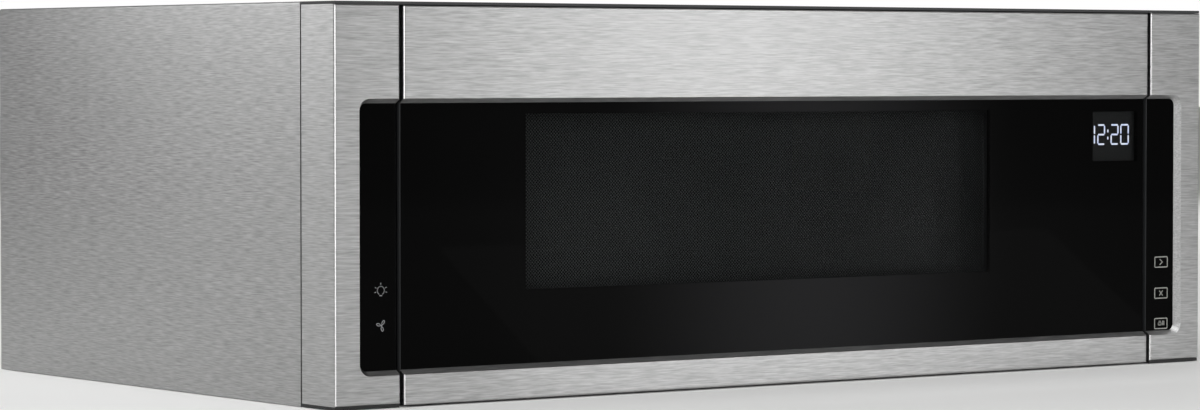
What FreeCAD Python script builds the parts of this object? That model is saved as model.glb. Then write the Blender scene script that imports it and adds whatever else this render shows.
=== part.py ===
import FreeCAD, Part
import math
import os

from FreeCAD import Vector

# Over the range microwave, in millimetres. X runs to the right, Y to the back and Z up.
# The origin is under the middle of the whole part, wall plate included, on the plane it stands on.

# Overall
overall_width = 759.0
overall_height = 260.0
face_to_case_rear = 450.0
wall_stand_off = 7.0

# Sheets and walls
case_sheet = 0.9
base_sheet = 1.2
base_flange = 12.0
rear_sheet = 1.0
wall_plate_sheet = 1.5
frame_sheet = 1.5
trim_sheet = 1.0
liner_sheet = 0.8
choke_sheet = 1.0
duct_sheet = 1.5
plastic_wall = 2.5
frame_flange = 9.0

# Clearances
seat_gap = 0.3
sheet_gap = 0.1
running_gap = 0.05
slot_gap = 0.3

# Front assembly: two fixed columns with the door between them
front_depth = 39.5
column_width = 49.6
seam_gap = 2.9
column_foot = 2.2
bend_radius = 1.5
case_seam = 1.5
seam_inset = 2.0
door_rear_gap = 1.6
door_floor_gap = 1.0
door_top_gap = 0.5
band_return = 20.0

# Recess that holds the black glass, shared by the columns and the door
recess_side = 18.7
recess_bottom = 20.6
top_band = 62.1
recess_depth = 5.0
recess_slope = 3.0
recess_corner = 8.0
glass_thickness = 3.2
glass_lap = 2.0
glass_edge_bevel = 0.4
board_thickness = 1.6
board_inset = 3.0

# Oven, by the space left around it inside the case
left_bay = 81.25
right_bay = 132.75
top_space = 42.0
rear_bay = 76.0
cavity_floor = 50.0
cavity_corner = 3.0
vent_hole_radius = 2.2
vent_pitch = 9.0
vent_setback = 40.0
vent_rise = 90.0
lamp_inset = 80.0
lamp_length = 60.0
lamp_width = 40.0
lamp_height = 28.0
lamp_wall = 2.0
bulb_radius = 8.0

# Door window and display
window_side_inset = 69.95
window_low_inset = 22.0
window_high_inset = 30.5
window_margin = 11.0
display_inset = 29.5
display_drop = 30.2
display_width = 46.0
display_height = 40.0
display_depth = 11.0

# Door structure
door_web = 3.0
door_rim = 3.8
door_ribs = 5
door_rib_inset = 98.1
door_rib_width = 3.0
spacer_inset = 8.0
spacer_radius = 4.0
screen_lap = 5.0
inner_window_lap = 2.0
inner_cover_lip = 4.0
inner_cover_corner = 2.0
choke_overlap = 19.0
choke_plate_depth = 24.0
choke_groove = 15.0
inner_cover = 2.0
inner_window = 1.6
screen_sheet = 0.6
pocket_inset = 95.0
pocket_width = 112.0
pocket_top = 26.0

# Hinges
pivot_inset = 6.0
hinge_arm = 2.4
hinge_arm_reach = 16.0
hinge_tip_radius = 4.0
hinge_side = 2.3
hinge_pin_radius = 2.0
hinge_pin_length = 17.0
hinge_flange = 24.0
hinge_flange_sheet = 2.0
hinge_level_gap = 0.5
hinge_swing = 26.0
hinge_arm_play = 0.7
hinge_screw_inset = 4.0
hinge_arm_gap = 0.6
hinge_screw_pitch = 10.0
hinge_boss_x = 9.0
hinge_boss_y = 8.0

# Latch
latch_inset = 27.0
latch_low = 62.0
latch_drop = 62.0
latch_thickness = 3.0
latch_bar_width = 8.0
latch_arm_height = 10.0
latch_nose_drop = 4.0
latch_nose_length = 6.0
latch_reach = 16.5
latch_lift = 4.0
catch_thickness = 4.0
latch_side_gap = 6.0
latch_slot_left = 3.5
latch_slot_right = 5.5
latch_slot_foot = 2.0
latch_slot_head = 1.0
latch_bar_tail = 16.0
latch_bar_head = 8.0
latch_channel_foot = 6.0
latch_channel_cap = 4.8
latch_flange_left = 16.0
latch_flange_right = 12.0
latch_board_low = 20.0
latch_board_high = 18.0
plunger_guide = 8.0
plunger_guide_setback = 4.0
latch_spring_radius = 3.4
latch_spring_bore = 2.6
latch_spring_length = 25.0
plunger_length = 15.0
plunger_height = 4.0
plunger_travel = 2.0
switch_length = 27.8
switch_height = 15.9
switch_thickness = 10.2

# Turntable
plate_wall_gap = 12.5
plate_rim_width = 32.0
plate_thickness = 4.0
plate_rise = 8.0
roller_radius = 7.0
roller_width = 8.0
roller_inset = 21.0
roller_axle_radius = 1.8
roller_axle_tip = 2.0
roller_edge = 1.0
ring_outer = 31.0
ring_width = 7.0
ring_thickness = 4.0
ring_arm_width = 10.0
coupler_radius = 20.0
coupler_hub_radius = 11.0
motor_radius = 25.0
motor_height = 17.0
shaft_radius = 3.5
shaft_pocket = 4.0
shaft_rise = 10.0
shaft_hole_gap = 4.0
motor_ear_length = 8.0
motor_ear_width = 10.0
coupler_floor_gap = 1.5
coupler_lobe_radius = 4.0
stud_radius = 3.5
stud_height = 4.0
stud_inset = 3.0
plate_edge = 1.5

# Hood blower and exhaust
duct_width = 254.0
duct_depth = 82.5
duct_height = 12.9
scroll_front_gap = 6.0
scroll_rear_gap = 4.0
wheel_side_gap = 7.0
wheel_end_gap = 9.0
wheel_start = 38.0
wheel_blades = 22
wheel_blade = 1.0
wheel_blade_pitch = 28.0
wheel_ring = 2.0
wheel_ring_width = 5.0
wheel_disc = 3.0
wheel_hub_radius = 8.0
wheel_hub_length = 20.0
wheel_shaft_tip = 4.0
scroll_end_gap = 4.0
blower_drop = 56.2
blower_motor_radius = 27.0
blower_motor_gap = 6.0
blower_motor_foot = 24.0
blower_shaft_radius = 3.0
flap_thickness = 1.2
flap_gap = 1.5
flap_pin_radius = 2.0
flap_pin_tip = 1.0
flap_pivot_inset = 4.0
flap_ledge = 6.0
flap_front_ledge = 20.0
flap_rear_ledge = 4.0

# Underside
filter_width = 190.0
filter_length = 128.0
filter_thickness = 9.0
filter_rim = 8.0
filter_mesh = 2.0
filter_side_inset = 107.5
filter_setback = 65.0
filter_low = 0.6
lens_width = 90.0
lens_length = 40.0
lens_side_inset = 162.5
lens_setback = 57.5
lens_thickness = 2.0
lens_rim = 4.0
lens_recess = 0.3
lamp_bezel = 3.0
lamp_depth = 22.0
lamp_roof = 4.0
filter_tab_width = 24.0
filter_tab_length = 18.0
filter_tab_height = 3.0
filter_tab_wall = 4.0
filter_mesh_rise = 2.0
intake_slots = 9
intake_pitch = 11.0
intake_width = 5.0
intake_length = 60.0
intake_inset = 22.0
intake_setback = 127.5

# Power supply side
guide_width = 38.0
guide_length = 100.0
guide_height = 85.0
guide_drop = 98.0
guide_setback = 147.5
guide_sheet = 1.2
guide_window_inset = 8.0
mica_sheet = 0.6
mica_lap = 6.0
magnetron_length = 75.0
magnetron_width = 78.0
magnetron_height = 86.0
antenna_radius = 7.0
antenna_length = 15.0
antenna_gap = 1.5
yoke_sheet = 2.0
filter_box_length = 20.0
filter_box_inset = 10.0
magnetron_core_radius = 20.0
magnetron_fins = 6
magnetron_fin = 0.8
magnetron_fin_pitch = 7.5
baffle_gap = 11.0
baffle_sheet = 1.5
fan_radius = 42.0
fan_side_inset = 71.25
fan_drop = 68.0
fan_depth = 22.0
fan_tip_gap = 2.0
fan_hub_gap = 3.0
fan_hub_radius = 12.0
fan_motor_gap = 18.0
fan_blades = 5
blade_thickness = 1.6
blade_width = 26.0
blade_pitch = 32.0
spindle_radius = 1.6
motor_stack = 20.0
motor_strap = 20.0
motor_width = 50.0
motor_coil_radius = 10.0

# Circuit boards
leg_radius = 3.0
leg_height = 8.0
leg_inset = 6.0
inverter_left_gap = 24.0
inverter_right_gap = 12.0
inverter_setback = 62.0
inverter_length = 105.0
inverter_height = 40.0
coil_block = 44.0
sink_height = 34.0
sink_length = 26.0
sink_fins = 9
sink_fin = 2.0
sink_pitch = 8.5
board_setback = 20.0
board_length = 120.0
board_height = 110.0
board_coil = 36.0
board_coil_height = 30.0
relay_count = 4
relay_pitch = 27.0
relay_width = 19.0
relay_length = 28.0
relay_height = 16.0

# Mounting
wall_hole_radius = 3.5
wall_hole_spacing_x = 406.4
wall_hole_spacing_z = 80.0
wall_hole_low = 42.0
wall_plate_side = 49.5
wall_plate_bottom = 12.0
wall_plate_top_gap = 12.0
wall_cutout_drop = 25.0
wall_cutout_height = 95.0
wall_hook_inset = 120.0
wall_hook_width = 40.0
wall_hook_reach = 9.0
wall_hook_lip = 7.0
wall_hook_play = 2.0
cabinet_hole_radius = 3.0
cabinet_hole_spacing = 520.0
cabinet_hole_setback = 158.5
cabinet_boss_radius = 7.0
cabinet_boss_height = 6.0
inlet_side_inset = 44.5
inlet_rear_inset = 25.5
inlet_bore = 8.0
inlet_radius = 11.0
inlet_lip = 2.0
inlet_flange = 2.0
inlet_length = 12.0
grille_depth = 88.0
grille_thickness = 1.9
grille_slot_width = 8.0
grille_slot_length = 30.0
grille_slot_pitch = 14.0
grille_slots = 27
grille_slot_margin = 8.0
grille_margin = 0.5
charcoal_lap = 4.0
charcoal_gap = 9.0
charcoal_corner = 3.0
screw_radius = 3.5
screw_head = 1.0
screw_reach = 6.0
rear_screw_inset = 12.0
rear_screw_low = 22.0
rear_screw_drop = 16.0
rear_screw_rows = 4

# Levels worked out from the sizes above
side_x = overall_width / 2.0
front_y = -(face_to_case_rear + wall_stand_off) / 2.0
case_rear_y = front_y + face_to_case_rear
wall_y = case_rear_y + wall_stand_off
frame_face_y = front_y + front_depth
frame_rear_y = frame_face_y + frame_sheet
rear_panel_y = case_rear_y - wall_stand_off - rear_sheet
case_inside_x = side_x - case_sheet
case_inside_top = overall_height - case_sheet
column_inner_x = side_x - column_width
door_half = column_inner_x - seam_gap
grille_low = overall_height - grille_thickness
grille_rear_y = front_y + grille_depth
column_top = grille_low - sheet_gap
door_top = grille_low - door_top_gap
door_rear_y = frame_face_y - door_rear_gap
recess_top = overall_height - top_band
glass_front_y = front_y + recess_depth
glass_rear_y = glass_front_y + glass_thickness
glass_low = recess_bottom + recess_slope - glass_lap
glass_high = recess_top - recess_slope + glass_lap
glass_side_x = side_x - recess_side - recess_slope + glass_lap
carrier_front_y = glass_rear_y + sheet_gap
cavity_left = -side_x + left_bay
cavity_right = side_x - right_bay
cavity_centre_x = (cavity_left + cavity_right) / 2.0
cavity_half = (cavity_right - cavity_left) / 2.0
cavity_ceiling = overall_height - top_space
cavity_front_y = frame_rear_y
cavity_rear_y = rear_panel_y - rear_bay
cavity_centre_y = (cavity_front_y + cavity_rear_y) / 2.0
window_left = cavity_left + window_side_inset
window_right = cavity_right - window_side_inset
window_low = cavity_floor + window_low_inset
window_high = cavity_ceiling - window_high_inset
display_x = door_half - display_inset
display_z = recess_top - display_drop
pocket_centre_x = door_half - pocket_inset
pivot_x = -door_half + pivot_inset
pivot_y = front_y + pivot_inset
lower_arm_low = door_floor_gap + hinge_arm_gap
lower_arm_high = lower_arm_low + hinge_arm
upper_arm_high = door_top - 2.0 * sheet_gap
upper_arm_low = upper_arm_high - hinge_arm
door_body_low = lower_arm_high + hinge_level_gap
door_body_high = upper_arm_low - hinge_level_gap
door_body_half = door_half - trim_sheet - sheet_gap
choke_low = cavity_floor - choke_overlap
choke_high = cavity_ceiling + choke_overlap
choke_left = cavity_left - choke_overlap
choke_right = cavity_right + choke_overlap
choke_plate_y = front_y + choke_plate_depth
inner_cover_y = door_rear_y - inner_cover
choke_rear_y = inner_cover_y - sheet_gap
latch_x = door_half - latch_inset
latch_high = overall_height - latch_drop
latch_tip_y = frame_face_y + latch_reach
plunger_y = latch_tip_y + slot_gap
switch_y = plunger_y + plunger_length + plunger_travel + slot_gap
latch_side_x = latch_x + latch_thickness / 2.0 + latch_side_gap
duct_rear_y = rear_panel_y - seat_gap - 2.0 * duct_sheet
duct_front_y = duct_rear_y - duct_depth
duct_low = case_inside_top - duct_height
scroll_radius = (rear_bay - scroll_front_gap - scroll_rear_gap) / 2.0
blower_y = rear_panel_y - scroll_radius - scroll_rear_gap
blower_height = duct_low - blower_drop
wheel_radius = scroll_radius - wheel_side_gap
wheel_length = duct_width / 2.0 - wheel_start - wheel_end_gap
plate_radius = (cavity_rear_y - cavity_front_y) / 2.0 - plate_wall_gap
plate_foot_radius = plate_radius - plate_rim_width
roller_track = plate_foot_radius - roller_inset
roller_centre_z = cavity_floor + roller_radius + seat_gap
plate_low = roller_centre_z + roller_radius + seat_gap
filter_offset = cavity_half - filter_side_inset
filter_y = cavity_centre_y + filter_setback
lens_offset = cavity_half - lens_side_inset
lens_y = frame_rear_y + lens_setback
guide_low = cavity_ceiling - guide_drop
guide_front_y = cavity_rear_y - guide_setback
baffle_y = cavity_rear_y + baffle_gap
fan_x = cavity_right + fan_side_inset
fan_z = cavity_ceiling - fan_drop
wall_plate_half = side_x - wall_plate_side
wall_plate_top = overall_height - wall_plate_top_gap
wall_cutout_high = overall_height - wall_cutout_drop
wall_cutout_low = wall_cutout_high - wall_cutout_height
wall_hook_x = wall_plate_half - wall_hook_inset
cabinet_hole_y = front_y + cabinet_hole_setback
inlet_x = side_x - inlet_side_inset
inlet_y = rear_panel_y - inlet_rear_inset


def box(x0, x1, y0, y1, z0, z1):
    """Block between two opposite corners."""
    return Part.makeBox(x1 - x0, y1 - y0, z1 - z0, Vector(x0, y0, z0))


def rod_x(radius, y, z, x0, x1):
    """Round bar along X."""
    return Part.makeCylinder(radius, x1 - x0, Vector(x0, y, z), Vector(1, 0, 0))


def rod_y(radius, x, z, y0, y1):
    """Round bar along Y."""
    return Part.makeCylinder(radius, y1 - y0, Vector(x, y0, z), Vector(0, 1, 0))


def rod_z(radius, x, y, z0, z1):
    """Round bar along Z."""
    return Part.makeCylinder(radius, z1 - z0, Vector(x, y, z0), Vector(0, 0, 1))


def fuse_all(shapes):
    """One solid from pieces that meet or cross."""
    return shapes[0].multiFuse(shapes[1:]).removeSplitter()


def cut_all(shape, tools):
    """A shape with several tools cut from it."""
    return shape.cut(Part.makeCompound(tools))


def mirror_x(shape):
    """The same shape on the other side of the middle plane."""
    return shape.mirror(Vector(0, 0, 0), Vector(1, 0, 0))


def turned_z(shape, angle, x, y):
    """A shape turned about an upright axis."""
    turned = shape.copy()
    turned.rotate(Vector(x, y, 0), Vector(0, 0, 1), angle)
    return turned


def round_edges_along(shape, radius, direction):
    """Round every straight edge that runs along a direction."""
    edges = []
    for edge in shape.Edges:
        run = edge.Vertexes[-1].Point - edge.Vertexes[0].Point
        if run.Length > 1e-6 and run.cross(direction).Length < 1e-6 * run.Length:
            edges.append(edge)
    return shape.makeFillet(radius, edges)


def edges_at_y(shape, y):
    """Edges that lie wholly at one depth."""
    return [edge for edge in shape.Edges if all(abs(v.Y - y) < 1e-6 for v in edge.Vertexes)]


def mirrored_pair(shape):
    """A right-hand piece together with its left-hand mirror image."""
    return Part.makeCompound([shape, mirror_x(shape)])


def rounded_outline(x0, x1, z0, z1, radius, y):
    """Rounded rectangle that faces the front."""
    centres = [
        (x1 - radius, z1 - radius, 0.0),
        (x0 + radius, z1 - radius, 90.0),
        (x0 + radius, z0 + radius, 180.0),
        (x1 - radius, z0 + radius, 270.0),
    ]
    arcs = []
    for centre_x, centre_z, start in centres:
        points = []
        for turn in (0.0, 45.0, 90.0):
            angle = math.radians(start + turn)
            points.append(Vector(centre_x + radius * math.cos(angle), y, centre_z + radius * math.sin(angle)))
        arcs.append(points)
    edges = []
    for index, points in enumerate(arcs):
        following = arcs[(index + 1) % len(arcs)]
        edges.append(Part.Arc(*points).toShape())
        edges.append(Part.LineSegment(points[2], following[0]).toShape())
    return Part.Wire(edges)


def rounded_block(x0, x1, y0, y1, z0, z1, radius):
    """Block with its four edges along Y rounded."""
    face = Part.Face(rounded_outline(x0, x1, z0, z1, radius, y0))
    return face.extrude(Vector(0, y1 - y0, 0))


def recess_outline(depth, growth):
    """Outline of the glass recess at one depth behind the front face, grown outwards."""
    inward = recess_slope * depth / recess_depth
    half = side_x - recess_side - inward + growth
    low = recess_bottom + inward - growth
    high = recess_top - inward + growth
    corner = recess_corner - inward + growth
    return rounded_outline(-half, half, low, high, corner, front_y + depth)


def recess_space(growth):
    """The sloping space of the recess, from just ahead of the front face to the glass."""
    ahead = -0.2 * recess_depth
    return Part.makeLoft([recess_outline(ahead, growth), recess_outline(recess_depth, growth)], True, True)


def front_skin(x0, x1, depth, z0, z1):
    """Folded sheet with rounded front edges and sloping walls into the glass recess."""
    outer = box(x0, x1, front_y, front_y + depth, z0, z1)
    outer = outer.makeFillet(bend_radius, edges_at_y(outer, front_y))
    hollow = box(x0 + trim_sheet, x1 - trim_sheet, front_y + trim_sheet, front_y + depth + 1.0,
                 z0 + trim_sheet, z1 - trim_sheet)
    hollow = hollow.cut(recess_space(trim_sheet))
    pocket = box(x0 - 1.0, min(x1 + 1.0, glass_side_x + sheet_gap), glass_front_y, front_y + depth + 1.0,
                 glass_low - sheet_gap, glass_high + sheet_gap)
    return outer.cut(hollow).cut(recess_space(0.0)).cut(pocket)


def column_skin():
    """Right-hand stainless column, open behind and under its rear part."""
    skin = front_skin(column_inner_x, side_x, front_depth, column_foot, column_top)
    open_foot = box(column_inner_x + trim_sheet, side_x - trim_sheet, carrier_front_y, frame_face_y + 1.0,
                    column_foot - 1.0, column_foot + trim_sheet + 1.0)
    return skin.cut(open_foot)


def column_carrier():
    """Right-hand black carrier behind the column, with the foot that shows under it."""
    x0 = column_inner_x + trim_sheet + sheet_gap
    x1 = side_x - trim_sheet - sheet_gap
    z1 = column_top - trim_sheet - sheet_gap
    body = box(x0, x1, carrier_front_y, frame_face_y, 0.0, z1)
    seam_block = box(column_inner_x + seat_gap, x0 + 1.0, carrier_front_y, frame_face_y,
                     glass_low + seat_gap, glass_high - seat_gap)
    foot = box(column_inner_x + 0.5, side_x - 0.5, front_y + trim_sheet, frame_face_y, 0.0,
               column_foot - sheet_gap)
    hollow = box(x0 + plastic_wall, x1 - plastic_wall, carrier_front_y + board_thickness + 2.0 * plastic_wall,
                 frame_face_y + 1.0, column_foot + plastic_wall, z1 - plastic_wall)
    pocket = box(x0 + board_inset - sheet_gap, glass_side_x - board_inset + sheet_gap, carrier_front_y - 1.0,
                 carrier_front_y + board_thickness + sheet_gap, glass_low + board_inset - sheet_gap,
                 glass_high - board_inset + sheet_gap)
    return fuse_all([body, seam_block, foot]).cut(hollow).cut(pocket)


def column_glass():
    """Right-hand fixed glass strip with the touch keys."""
    strip = box(column_inner_x + sheet_gap, glass_side_x, glass_front_y, glass_rear_y, glass_low, glass_high)
    return strip.makeChamfer(glass_edge_bevel, edges_at_y(strip, glass_front_y))


def touch_board():
    """Right-hand circuit board with the touch sensors, against the back of the glass."""
    x0 = column_inner_x + trim_sheet + sheet_gap + board_inset
    x1 = glass_side_x - board_inset
    return box(x0, x1, carrier_front_y, carrier_front_y + board_thickness, glass_low + board_inset,
               glass_high - board_inset)


def case_sheets():
    """Top and sides of the case, still joined at their bends."""
    shell = box(-side_x, side_x, frame_face_y + case_seam, case_rear_y, 0.0, overall_height)
    edges = []
    for edge in shell.Edges:
        ends = [v.Point for v in edge.Vertexes]
        if all(abs(p.z - overall_height) < 1e-6 and abs(abs(p.x) - side_x) < 1e-6 for p in ends):
            edges.append(edge)
    shell = shell.makeFillet(bend_radius, edges)
    inside = box(-case_inside_x, case_inside_x, front_y, wall_y, -1.0, case_inside_top)
    shell = shell.cut(inside)
    bosses = []
    holes = []
    for side in (-1, 1):
        x = side * cabinet_hole_spacing / 2.0
        bosses.append(rod_z(cabinet_boss_radius, x, cabinet_hole_y, case_inside_top - cabinet_boss_height,
                            case_inside_top + case_sheet / 2.0))
        holes.append(rod_z(cabinet_hole_radius, x, cabinet_hole_y,
                           case_inside_top - cabinet_boss_height - 1.0, overall_height + 1.0))
    grille_seat = box(-case_inside_x, case_inside_x, frame_face_y, grille_rear_y + seat_gap,
                      case_inside_top - 1.0, overall_height + 1.0)
    duct_half = duct_width / 2.0
    holes.append(grille_seat)
    holes.append(box(-duct_half, duct_half, duct_front_y, duct_rear_y, case_inside_top - 1.0,
                     overall_height + 1.0))
    holes.append(rod_z(inlet_radius - inlet_lip, inlet_x, inlet_y, case_inside_top - 1.0,
                       overall_height + 1.0))
    return cut_all(fuse_all([shell] + bosses), holes)


def case_top():
    """Flat top of the case, between the two bends."""
    half = side_x - bend_radius
    return case_sheets().common(box(-half, half, front_y, wall_y, 0.0, overall_height + 1.0))


def case_side():
    """Right-hand side of the case with its bend at the top."""
    return case_sheets().common(box(side_x - bend_radius, side_x + 1.0, front_y, wall_y, -1.0,
                                    overall_height + 1.0))


def filter_centres():
    """Middle of each grease filter, as X."""
    return [cavity_centre_x - filter_offset, cavity_centre_x + filter_offset]


def lens_centres():
    """Middle of each cooktop lamp lens, as X."""
    return [cavity_centre_x - lens_offset, cavity_centre_x + lens_offset]


def base_plate():
    """Underside sheet with upturned sides, filter and lamp openings and air slots."""
    sheet = box(-case_inside_x, case_inside_x, frame_rear_y, rear_panel_y, 0.0, base_sheet)
    flanges = []
    for side in (-1, 1):
        inner = side * (case_inside_x - base_sheet)
        outer = side * case_inside_x
        flanges.append(box(min(inner, outer), max(inner, outer), frame_rear_y, rear_panel_y, 0.0,
                           base_flange))
    rims = []
    openings = []
    for x in filter_centres():
        half_x = filter_width / 2.0 + slot_gap
        half_y = filter_length / 2.0 + slot_gap
        rims.append(box(x - half_x - base_sheet, x + half_x + base_sheet, filter_y - half_y - base_sheet,
                        filter_y + half_y + base_sheet, 0.0, filter_thickness))
        openings.append(box(x - half_x, x + half_x, filter_y - half_y, filter_y + half_y, -1.0,
                            filter_thickness + 1.0))
    for x in lens_centres():
        openings.append(box(x - lens_width / 2.0, x + lens_width / 2.0, lens_y - lens_length / 2.0,
                            lens_y + lens_length / 2.0, -1.0, base_sheet + 1.0))
    slot_y = frame_rear_y + intake_setback
    for index in range(intake_slots):
        x = cavity_right + intake_inset + intake_pitch * index
        openings.append(box(x, x + intake_width, slot_y, slot_y + intake_length, -1.0, base_sheet + 1.0))
    return cut_all(fuse_all([sheet] + flanges + rims), openings)


def rear_panel():
    """Back of the case, set in to make room for the wall plate, with slots for its hooks."""
    sheet = box(-case_inside_x, case_inside_x, rear_panel_y, rear_panel_y + rear_sheet, base_sheet,
                case_inside_top)
    foot = box(-case_inside_x, case_inside_x, rear_panel_y, rear_panel_y + rear_sheet, 0.0, base_sheet)
    slots = []
    for side in (-1, 1):
        x = side * wall_hook_x
        half = wall_hook_width / 2.0 + wall_hook_play
        slots.append(box(x - half, x + half, rear_panel_y - 1.0, rear_panel_y + rear_sheet + 1.0,
                         wall_plate_bottom - seat_gap, wall_plate_bottom + wall_hook_lip + wall_hook_play))
    for x, z in rear_screw_places():
        slots.append(rod_y(screw_radius / 2.0, x, z, rear_panel_y - 1.0, rear_panel_y + rear_sheet + 1.0))
    return cut_all(fuse_all([sheet, foot]), slots)


def rear_screw_places():
    """Middle of each screw in the rear panel, as X and Z."""
    places = []
    step = (overall_height - rear_screw_drop - rear_screw_low) / (rear_screw_rows - 1)
    for side in (-1, 1):
        for row in range(rear_screw_rows):
            places.append((side * (case_inside_x - rear_screw_inset), rear_screw_low + row * step))
    return places


def case_screws():
    """Screws of one kind that hold the rear panel, and the hinges to the front frame."""
    rear_y = rear_panel_y + rear_sheet
    stem_radius = screw_radius / 2.0 - running_gap
    screws = []
    for x, z in rear_screw_places():
        head = rod_y(screw_radius, x, z, rear_y, rear_y + screw_head)
        screws.append(fuse_all([head, rod_y(stem_radius, x, z, rear_y - screw_reach, rear_y)]))
    for x, z in hinge_screw_places():
        head = rod_y(screw_radius, x, z, frame_face_y - screw_head, frame_face_y)
        screws.append(fuse_all([head, rod_y(stem_radius, x, z, frame_face_y, frame_face_y + screw_reach)]))
    return Part.makeCompound(screws)


def wall_plate():
    """Steel plate that is screwed to the wall, with folded edges and hooks that carry the oven."""
    half = wall_plate_half
    plate_y = wall_y - wall_plate_sheet
    seat_y = rear_panel_y + rear_sheet + sheet_gap
    plate = box(-half, half, plate_y, wall_y, wall_plate_bottom, wall_plate_top)
    low_fold = box(-half, half, seat_y, wall_y, wall_plate_bottom, wall_plate_bottom + wall_plate_sheet)
    high_fold = box(-half, half, seat_y, wall_y, wall_plate_top - wall_plate_sheet, wall_plate_top)
    pieces = [plate, low_fold, high_fold]
    for side in (-1, 1):
        x0 = side * wall_hook_x - wall_hook_width / 2.0
        x1 = x0 + wall_hook_width
        tip_y = rear_panel_y - wall_hook_reach
        pieces.append(box(x0, x1, tip_y, seat_y + 1.0, wall_plate_bottom,
                          wall_plate_bottom + wall_plate_sheet))
        pieces.append(box(x0, x1, tip_y, tip_y + wall_plate_sheet, wall_plate_bottom,
                          wall_plate_bottom + wall_hook_lip))
    holes = [box(-duct_width / 2.0, duct_width / 2.0, plate_y - 1.0, wall_y + 1.0, wall_cutout_low,
                 wall_cutout_high)]
    for side in (-1, 1):
        for row in (0, 1):
            holes.append(rod_y(wall_hole_radius, side * wall_hole_spacing_x / 2.0,
                               wall_hole_low + row * wall_hole_spacing_z, plate_y - 1.0, wall_y + 1.0))
    return cut_all(fuse_all(pieces), holes)


def front_plate():
    """Steel plate around the oven opening with a flange at each side, before it is divided."""
    half = side_x - seam_inset
    top = grille_low - seat_gap
    pieces = [box(-half, half, frame_face_y, frame_rear_y, base_sheet + sheet_gap, top)]
    for side in (-1, 1):
        inner = side * (half - frame_sheet)
        outer = side * case_inside_x
        pieces.append(box(min(inner, outer), max(inner, outer), frame_rear_y - 0.2,
                          frame_rear_y + frame_flange, base_flange, top))
    cuts = [rounded_block(cavity_left, cavity_right, frame_face_y - 1.0, frame_rear_y + 1.0, cavity_floor,
                          cavity_ceiling, cavity_corner)]
    for hook_z in (latch_low, latch_high):
        cuts.append(latch_slot(hook_z, frame_face_y - 1.0, frame_rear_y + 1.0))
    arm_x0 = pivot_x - hinge_side - hinge_arm_play
    arm_x1 = pivot_x + hinge_arm_reach + hinge_arm_play
    cuts.append(box(arm_x0, arm_x1, frame_face_y - 1.0, frame_rear_y + 1.0, 0.0,
                    lower_arm_high + sheet_gap))
    cuts.append(box(arm_x0, arm_x1, frame_face_y - 1.0, frame_rear_y + 1.0, upper_arm_low - sheet_gap,
                    overall_height))
    for x, z in hinge_screw_places():
        cuts.append(rod_y(screw_radius / 2.0, x, z, frame_face_y - 1.0, frame_rear_y + 1.0))
    return cut_all(fuse_all(pieces), cuts)


def latch_side_space():
    """Space of the front plate to the right of the oven opening."""
    return box(cavity_right, side_x, front_y, case_rear_y, 0.0, overall_height)


def front_frame():
    """Front plate to the left of the oven opening, above it and below it."""
    return front_plate().cut(latch_side_space())


def front_frame_latch_side():
    """Front plate to the right of the oven opening, divided beside the slots for the latch hooks."""
    plate = front_plate().common(latch_side_space())
    half = latch_thickness / 2.0
    return divided_across(plate, [latch_x - half - latch_slot_left, latch_x + half + latch_slot_right])


def divided_across(shape, edges):
    """Shape divided into solids that touch at stated positions across the width."""
    pieces = []
    for left, right in zip([-side_x] + edges, edges + [side_x]):
        pieces.append(shape.common(box(left, right, front_y, wall_y, 0.0, overall_height)))
    return Part.makeCompound(pieces)


def latch_slot(hook_z, y0, y1):
    """Opening that a latch hook passes through, wider towards the side it swings to."""
    half = latch_thickness / 2.0
    return box(latch_x - half - latch_slot_left, latch_x + half + latch_slot_right, y0, y1,
               hook_z - latch_arm_height / 2.0 - latch_nose_drop - latch_slot_foot,
               hook_z + latch_arm_height / 2.0 + latch_lift + latch_slot_head)


def hinge_screw_places():
    """Middle of each hinge screw, as X and Z."""
    x = pivot_x + hinge_arm_reach - hinge_screw_inset
    return [
        (x, lower_arm_high + hinge_screw_pitch / 2.0),
        (x, lower_arm_high + hinge_screw_pitch * 1.5),
        (x, upper_arm_low - hinge_screw_pitch / 2.0),
        (x, upper_arm_low - hinge_screw_pitch * 1.5),
    ]


def hinge(arm_low, arm_high, pin_low, pin_high, flange_low, flange_high):
    """Door hinge: arm through the front frame, pin, and flange behind the frame."""
    tip = rod_z(hinge_tip_radius, pivot_x, pivot_y, arm_low, arm_high)
    arm = box(pivot_x - hinge_side, pivot_x + hinge_arm_reach, pivot_y, frame_rear_y, arm_low, arm_high)
    corner = box(pivot_x, pivot_x + hinge_arm_reach + 1.0, pivot_y - 1.0, pivot_y + hinge_arm_reach / 2.0,
                 arm_low - 1.0, arm_high + 1.0)
    arm = arm.cut(corner.cut(rod_z(hinge_tip_radius, pivot_x, pivot_y, arm_low - 1.0, arm_high + 1.0)))
    pin = rod_z(hinge_pin_radius, pivot_x, pivot_y, pin_low, pin_high)
    flange = box(pivot_x - hinge_side, pivot_x + hinge_arm_reach, frame_rear_y,
                 frame_rear_y + hinge_flange_sheet, flange_low, flange_high)
    holes = [rod_y(screw_radius / 2.0, x, z, frame_rear_y - 1.0, frame_rear_y + hinge_flange_sheet + 1.0)
             for x, z in hinge_screw_places()]
    return cut_all(fuse_all([tip, arm, pin, flange]), holes)


def door_hinges():
    """Lower and upper hinge."""
    lower = hinge(lower_arm_low, lower_arm_high, lower_arm_low, lower_arm_high + hinge_pin_length,
                  lower_arm_low, lower_arm_low + hinge_flange)
    upper = hinge(upper_arm_low, upper_arm_high, upper_arm_low - hinge_pin_length, upper_arm_high,
                  upper_arm_high - hinge_flange, upper_arm_high)
    return Part.makeCompound([lower, upper])


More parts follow.
